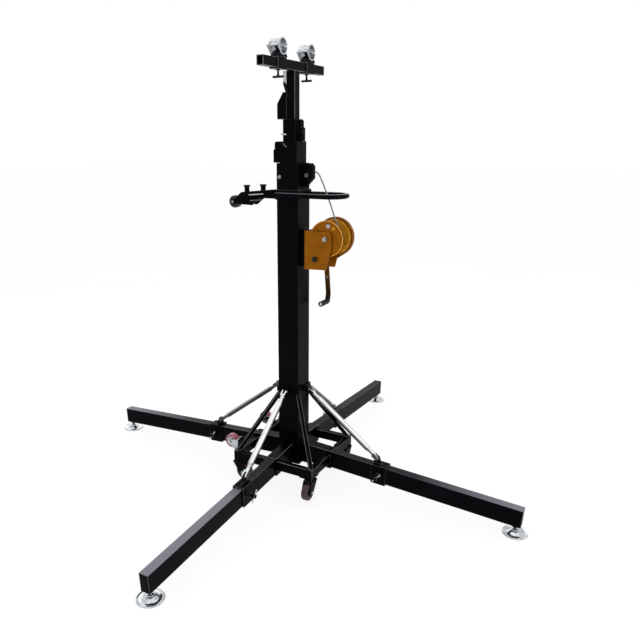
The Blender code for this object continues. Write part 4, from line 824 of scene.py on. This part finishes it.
def dress_mast_fittings():
    """Fittings on the mast and the arm: stop bolt, pulley axle nuts, clips, strips standing for highlights,
    and post caps.
    """
    bolt = painted(hex_bolt((-0.036, -0.0500, 1.3594), (0, -1, 0), 10, 6), ZINC)
    settle(bolt, "mast_stop_bolt", "base")
    x, z = SHEAVE_CENTRE
    # The head pulley's nuts are drawn all in the grey enamel of the painted highlight
    pair = [hex_bolt((x, sign * 0.0138, z), (0, sign, 0), 12, 4) for sign in (-1, 1)]
    settle(painted(join(*pair), HIGHLIGHT_GREY), "head_pulley_nuts", "base")
    settle(painted(clip((-0.024, -0.0300, 1.5275), 4), ZINC), "third_tube_clip", "stage_3")
    # The second tube's clip is drawn in the same grey enamel
    settle(painted(clip((-0.015, -0.0400, 1.484), 38), HIGHLIGHT_GREY), "second_tube_clip", "stage_2")
    # Strips along the arm stand for its highlights: zinc above, the grey painted-highlight enamel below
    for name, length, height, material in (("upper", 74, 1.2830, ZINC), ("lower", 62, 1.2585, HIGHLIGHT_GREY)):
        half = length / 2000
        strip = rounded(box((-half, -0.0030, -0.0024), (half, 0, 0.0024)), 0.8)
        lean = Matrix.Rotation(math.radians(-5), 4, "Y")
        strip.data.transform(Matrix.Translation((-0.168, -0.0230, height)) @ lean)
        settle(painted(strip, material), f"arm_{name}_strip", "base")
    profile = [(10.8, 0), (11.6, 0.4), (13.6, 2), (14.6, 3), (14.6, 7.6), (13.6, 9), (9, 9.6)]
    for name, x, foot in (("near", -0.147, 1.3155), ("outer", -0.230, 1.3105)):
        cap = turned(profile, (x, 0, foot), (0, 0, 1), 40)
        settle(painted(cap, NYLON), f"arm_post_cap_{name}", "base")


def clip(place, lean):
    """A small spring clip held by one screw on a tube's front face, leaning by some degrees."""
    plate = rounded(box((-0.010, -0.0018, -0.0030), (0.010, 0, 0.0030)), 0.6)
    lip = rounded(box((-0.012, -0.0060, -0.0028), (-0.0092, -0.0005, 0.0028)), 0.6)
    made = join(plate, lip, hex_bolt((-0.002, -0.0016, 0), (0, -1, 0), 4.5, 2.4))
    made.data.transform(Matrix.Translation(place) @ Matrix.Rotation(math.radians(lean), 4, "Y"))
    return made


def dress_couplers():
    """Swing bolts with flanged nuts, hanging open from the couplers' lugs."""
    reach, height = COUPLER_PLACE
    for end, sign in ENDS.items():
        y = sign * reach
        start, stop = Vector((0, y + 0.037, height - 0.003)), Vector((0, y + 0.066, height - 0.032))
        along = (stop - start).normalized()
        shank = painted(rod(start - 0.004 * along, stop, 4.4, 20, 0.5), NYLON)
        settle(shank, f"swing_bolt_{end}", BODY_OF[f"coupler_saddle_{end}"])
        nut = turned(
            [(6.2, 0), (7.4, 0.5), (7.4, 2), (6.2, 2.6), (6.2, 8.6), (5.2, 9.4)],
            start + 0.014 * along, along, 6,
        )
        eye = rod(start + Vector((-0.009, 0, 0)), start + Vector((0.009, 0, 0)), 6.5, 32, 0.8)
        settle(painted(join(nut, eye), ZINC), f"swing_nut_{end}", BODY_OF[f"coupler_saddle_{end}"])


def dress_sheaves():
    """Grooved pulleys, turned to the radius that the rope bends to."""
    x, z = SHEAVE_CENTRE
    for node, bend, place in (
        ("head_sheave", 1000 * SHEAVE_BEND, (x, 0, z)),
        ("second_sheave", 26, (-0.059, 0, 1.4518)),
        ("third_sheave", 12.5, (0.0355, 0, 1.5373)),
    ):
        rim, groove = bend + 1.8, bend - 3.3
        half = [(0.6 * rim, -5), (rim - 0.6, -5), (rim, -4.4), (rim, -3.8), (groove + 1.3, -1.8)]
        profile = [*half, (groove, 0), *[(radius, -height) for radius, height in reversed(half)]]
        pulley = painted(turned(profile, place, (0, 1, 0), 64), NYLON)
        settle(pulley, f"{node}_grooved", BODY_OF[node], node)


def stranded(points):
    """A wire rope's mesh along points: a six-lobed section that turns once in each lay length."""
    start_fresh()
    bpy.ops.curve.primitive_bezier_circle_add(radius=1)
    section = bpy.context.object
    section.data.splines.clear()
    spline = section.data.splines.new("POLY")
    corners = 36
    spline.points.add(corners - 1)
    for i, point in enumerate(spline.points):
        turn = math.tau * i / corners
        lobe = ROPE_DIAMETER / 2 * (0.90 + 0.10 * abs(math.cos(3 * turn)))
        point.co = (lobe * math.cos(turn), lobe * math.sin(turn), 0, 1)
    spline.use_cyclic_u = True
    curve = drawn_curve("strands", points)
    curve.data.bevel_mode = "OBJECT"
    curve.data.bevel_object = section
    curve.data.twist_mode = "MINIMUM"
    gone, last = 0.0, points[0]
    for point, place in zip(curve.data.splines[0].points, points):
        gone += (Vector(place) - Vector(last)).length
        last = place
        point.tilt = math.tau * gone / ROPE_LAY
    rope = as_mesh(curve)
    bpy.data.objects.remove(section, do_unlink=True)
    return painted(rope, WIRE)


def arc(centre, radius, first, last, steps):
    """Points across and up on a circle, from one angle to another in degrees."""
    turns = [math.radians(first + (last - first) * i / steps) for i in range(steps + 1)]
    return [(centre[0] + radius * math.cos(t), centre[1] + radius * math.sin(t)) for t in turns]


def smooth_route(route, step):
    """Points a step apart on a smooth curve through a route's own points."""
    route = [Vector(point) for point in route]
    reach = [0.0]
    for a, b in zip(route, route[1:]):
        reach.append(reach[-1] + (b - a).length)
    last = len(route) - 1
    slopes = []
    for i in range(last + 1):
        before, after = max(i - 1, 0), min(i + 1, last)
        slopes.append((route[after] - route[before]) / (reach[after] - reach[before]))
    count = round(reach[-1] / step)
    points, piece = [], 0
    for i in range(count + 1):
        here = reach[-1] * i / count
        while piece < last - 1 and here > reach[piece + 1]:
            piece += 1
        span = reach[piece + 1] - reach[piece]
        t = (here - reach[piece]) / span
        points.append(
            route[piece] * (2 * t**3 - 3 * t**2 + 1)
            + slopes[piece] * span * (t**3 - 2 * t**2 + t)
            + route[piece + 1] * (3 * t**2 - 2 * t**3)
            + slopes[piece + 1] * span * (t**3 - t**2)
        )
    return points


def dress_rope():
    """The slack wire rope from the mast over the head pulley to the drum, and its turns on the drum."""
    over = arc(SHEAVE_CENTRE, SHEAVE_BEND, 180, 60, 8)
    drum = arc(DRUM_CENTRE, ROPE_TOP_LAYER, 21, -49, 6)
    flat = [(SHEAVE_CENTRE[0] - SHEAVE_BEND, ROPE_INLET), *over, *ROPE_SLACK, *drum]
    points = smooth_route([(x, 0, z) for x, z in flat], ROPE_STEP)
    rope = stranded([tuple(p) for p in points])
    settle(rope, "lifting_wire_rope", "base", "lifting_rope")
    x, z = DRUM_CENTRE
    steps = 48
    turns = []
    for i in range(WINDING_LOOPS * steps + 1):
        angle = math.tau * i / steps
        across = WINDING_PITCH * (i / steps - WINDING_LOOPS / 2)
        turns.append((x + WINDING_RADIUS * math.cos(angle), across, z + WINDING_RADIUS * math.sin(angle)))
    winding = stranded(turns)
    settle(winding, "rope_turns_on_drum", "drum", "rope_winding")


def set_camera():
    data = bpy.data.cameras.new("photo_camera")
    data.lens = CAMERA_LENS
    data.sensor_width = 36
    data.shift_x, data.shift_y = CAMERA_SHIFT
    camera = bpy.data.objects.new("photo_camera", data)
    camera.location = CAMERA_PLACE
    look = Euler((math.pi / 2 - CAMERA_DROP, 0, CAMERA_TURN)).to_matrix()
    camera.rotation_euler = (look @ Matrix.Rotation(CAMERA_ROLL, 3, "Z")).to_euler()
    bpy.context.scene.collection.objects.link(camera)
    bpy.context.scene.camera = camera


def seen_directly(tree):
    """1 for the camera's own rays and for rays mirrored in metal or passed through glass, else 0."""
    rays = add_node(tree, "ShaderNodeLightPath").outputs
    either = add_node(
        tree, "ShaderNodeMath", {"operation": "MAXIMUM"},
        {0: rays["Is Camera Ray"], 1: rays["Is Glossy Ray"]},
    )
    any_of_three = add_node(
        tree, "ShaderNodeMath", {"operation": "MAXIMUM"},
        {0: either.outputs["Value"], 1: rays["Is Transmission Ray"]},
    )
    return any_of_three.outputs["Value"]


def lay_floor():
    """A white studio floor that keeps a faint shadow of the stand."""
    start_fresh()
    bpy.ops.mesh.primitive_plane_add(size=60, location=(0, 0, -0.0005))
    floor = bpy.context.object
    floor.name = "studio_floor"
    # Matt white paper, with a slight cloud in its tone: white to the eye, with a little of the shadow left.
    made, tree, shader, _, _ = finish(
        "white_studio_paper", ("#f4f4f4", "#fafafa"), 900, (0.85, 0.95), 6, 0.01, specular=0.1
    )
    white = add_node(tree, "ShaderNodeEmission", inputs={"Color": linear("#ffffff"), "Strength": 1.0})
    whiteness = 0.86
    share = add_node(
        tree, "ShaderNodeMath", {"operation": "MULTIPLY"}, {0: seen_directly(tree), 1: whiteness}
    )
    mix = add_node(
        tree, "ShaderNodeMixShader",
        inputs={0: share.outputs["Value"], 1: shader.outputs["BSDF"], 2: white.outputs["Emission"]},
    )
    tree.links.new(mix.outputs["Shader"], tree.nodes["Material Output"].inputs["Surface"])
    floor.data.materials.append(made)


def light_studio():
    """A white surround, a large soft lamp overhead, and soft lamps at the right and at the rear left."""
    world = bpy.data.worlds.new("white_surround")
    bpy.context.scene.world = world
    world.use_nodes = True
    tree = world.node_tree
    tree.nodes.clear()
    sky = add_node(tree, "ShaderNodeBackground", inputs={"Color": linear("#ffffff"), "Strength": 1.0})
    out = add_node(tree, "ShaderNodeOutputWorld")
    tree.links.new(sky.outputs["Background"], out.inputs["Surface"])
    target = Vector((0, 0, 0.7))
    for name, place, power, size in (
        ("overhead_soft_lamp", (0.6, -0.4, 4.2), 45, 6.0),
        ("side_soft_lamp", (3.6, -1.6, 2.6), 25, 4.4),
        ("rear_left_soft_lamp", (-2.4, 2.0, 2.4), 35, 4.0),
    ):
        lamp = bpy.data.lights.new(name, "AREA")
        lamp.energy = power
        lamp.size = size
        holder = bpy.data.objects.new(name, lamp)
        holder.location = place
        holder.rotation_euler = (target - Vector(place)).to_track_quat("-Z", "Y").to_euler()
        holder.visible_camera = False
        bpy.context.scene.collection.objects.link(holder)


set_camera()
dress_rope()
dress_sawn_and_welded()
dress_two_tone()
dress_feet()
dress_braces()
dress_wheels()
dress_tow_handle()
dress_drum()
dress_crank()
dress_mast_fittings()
dress_couplers()
dress_sheaves()
lay_floor()
light_studio()
bpy.context.scene.view_settings.view_transform = "Standard"
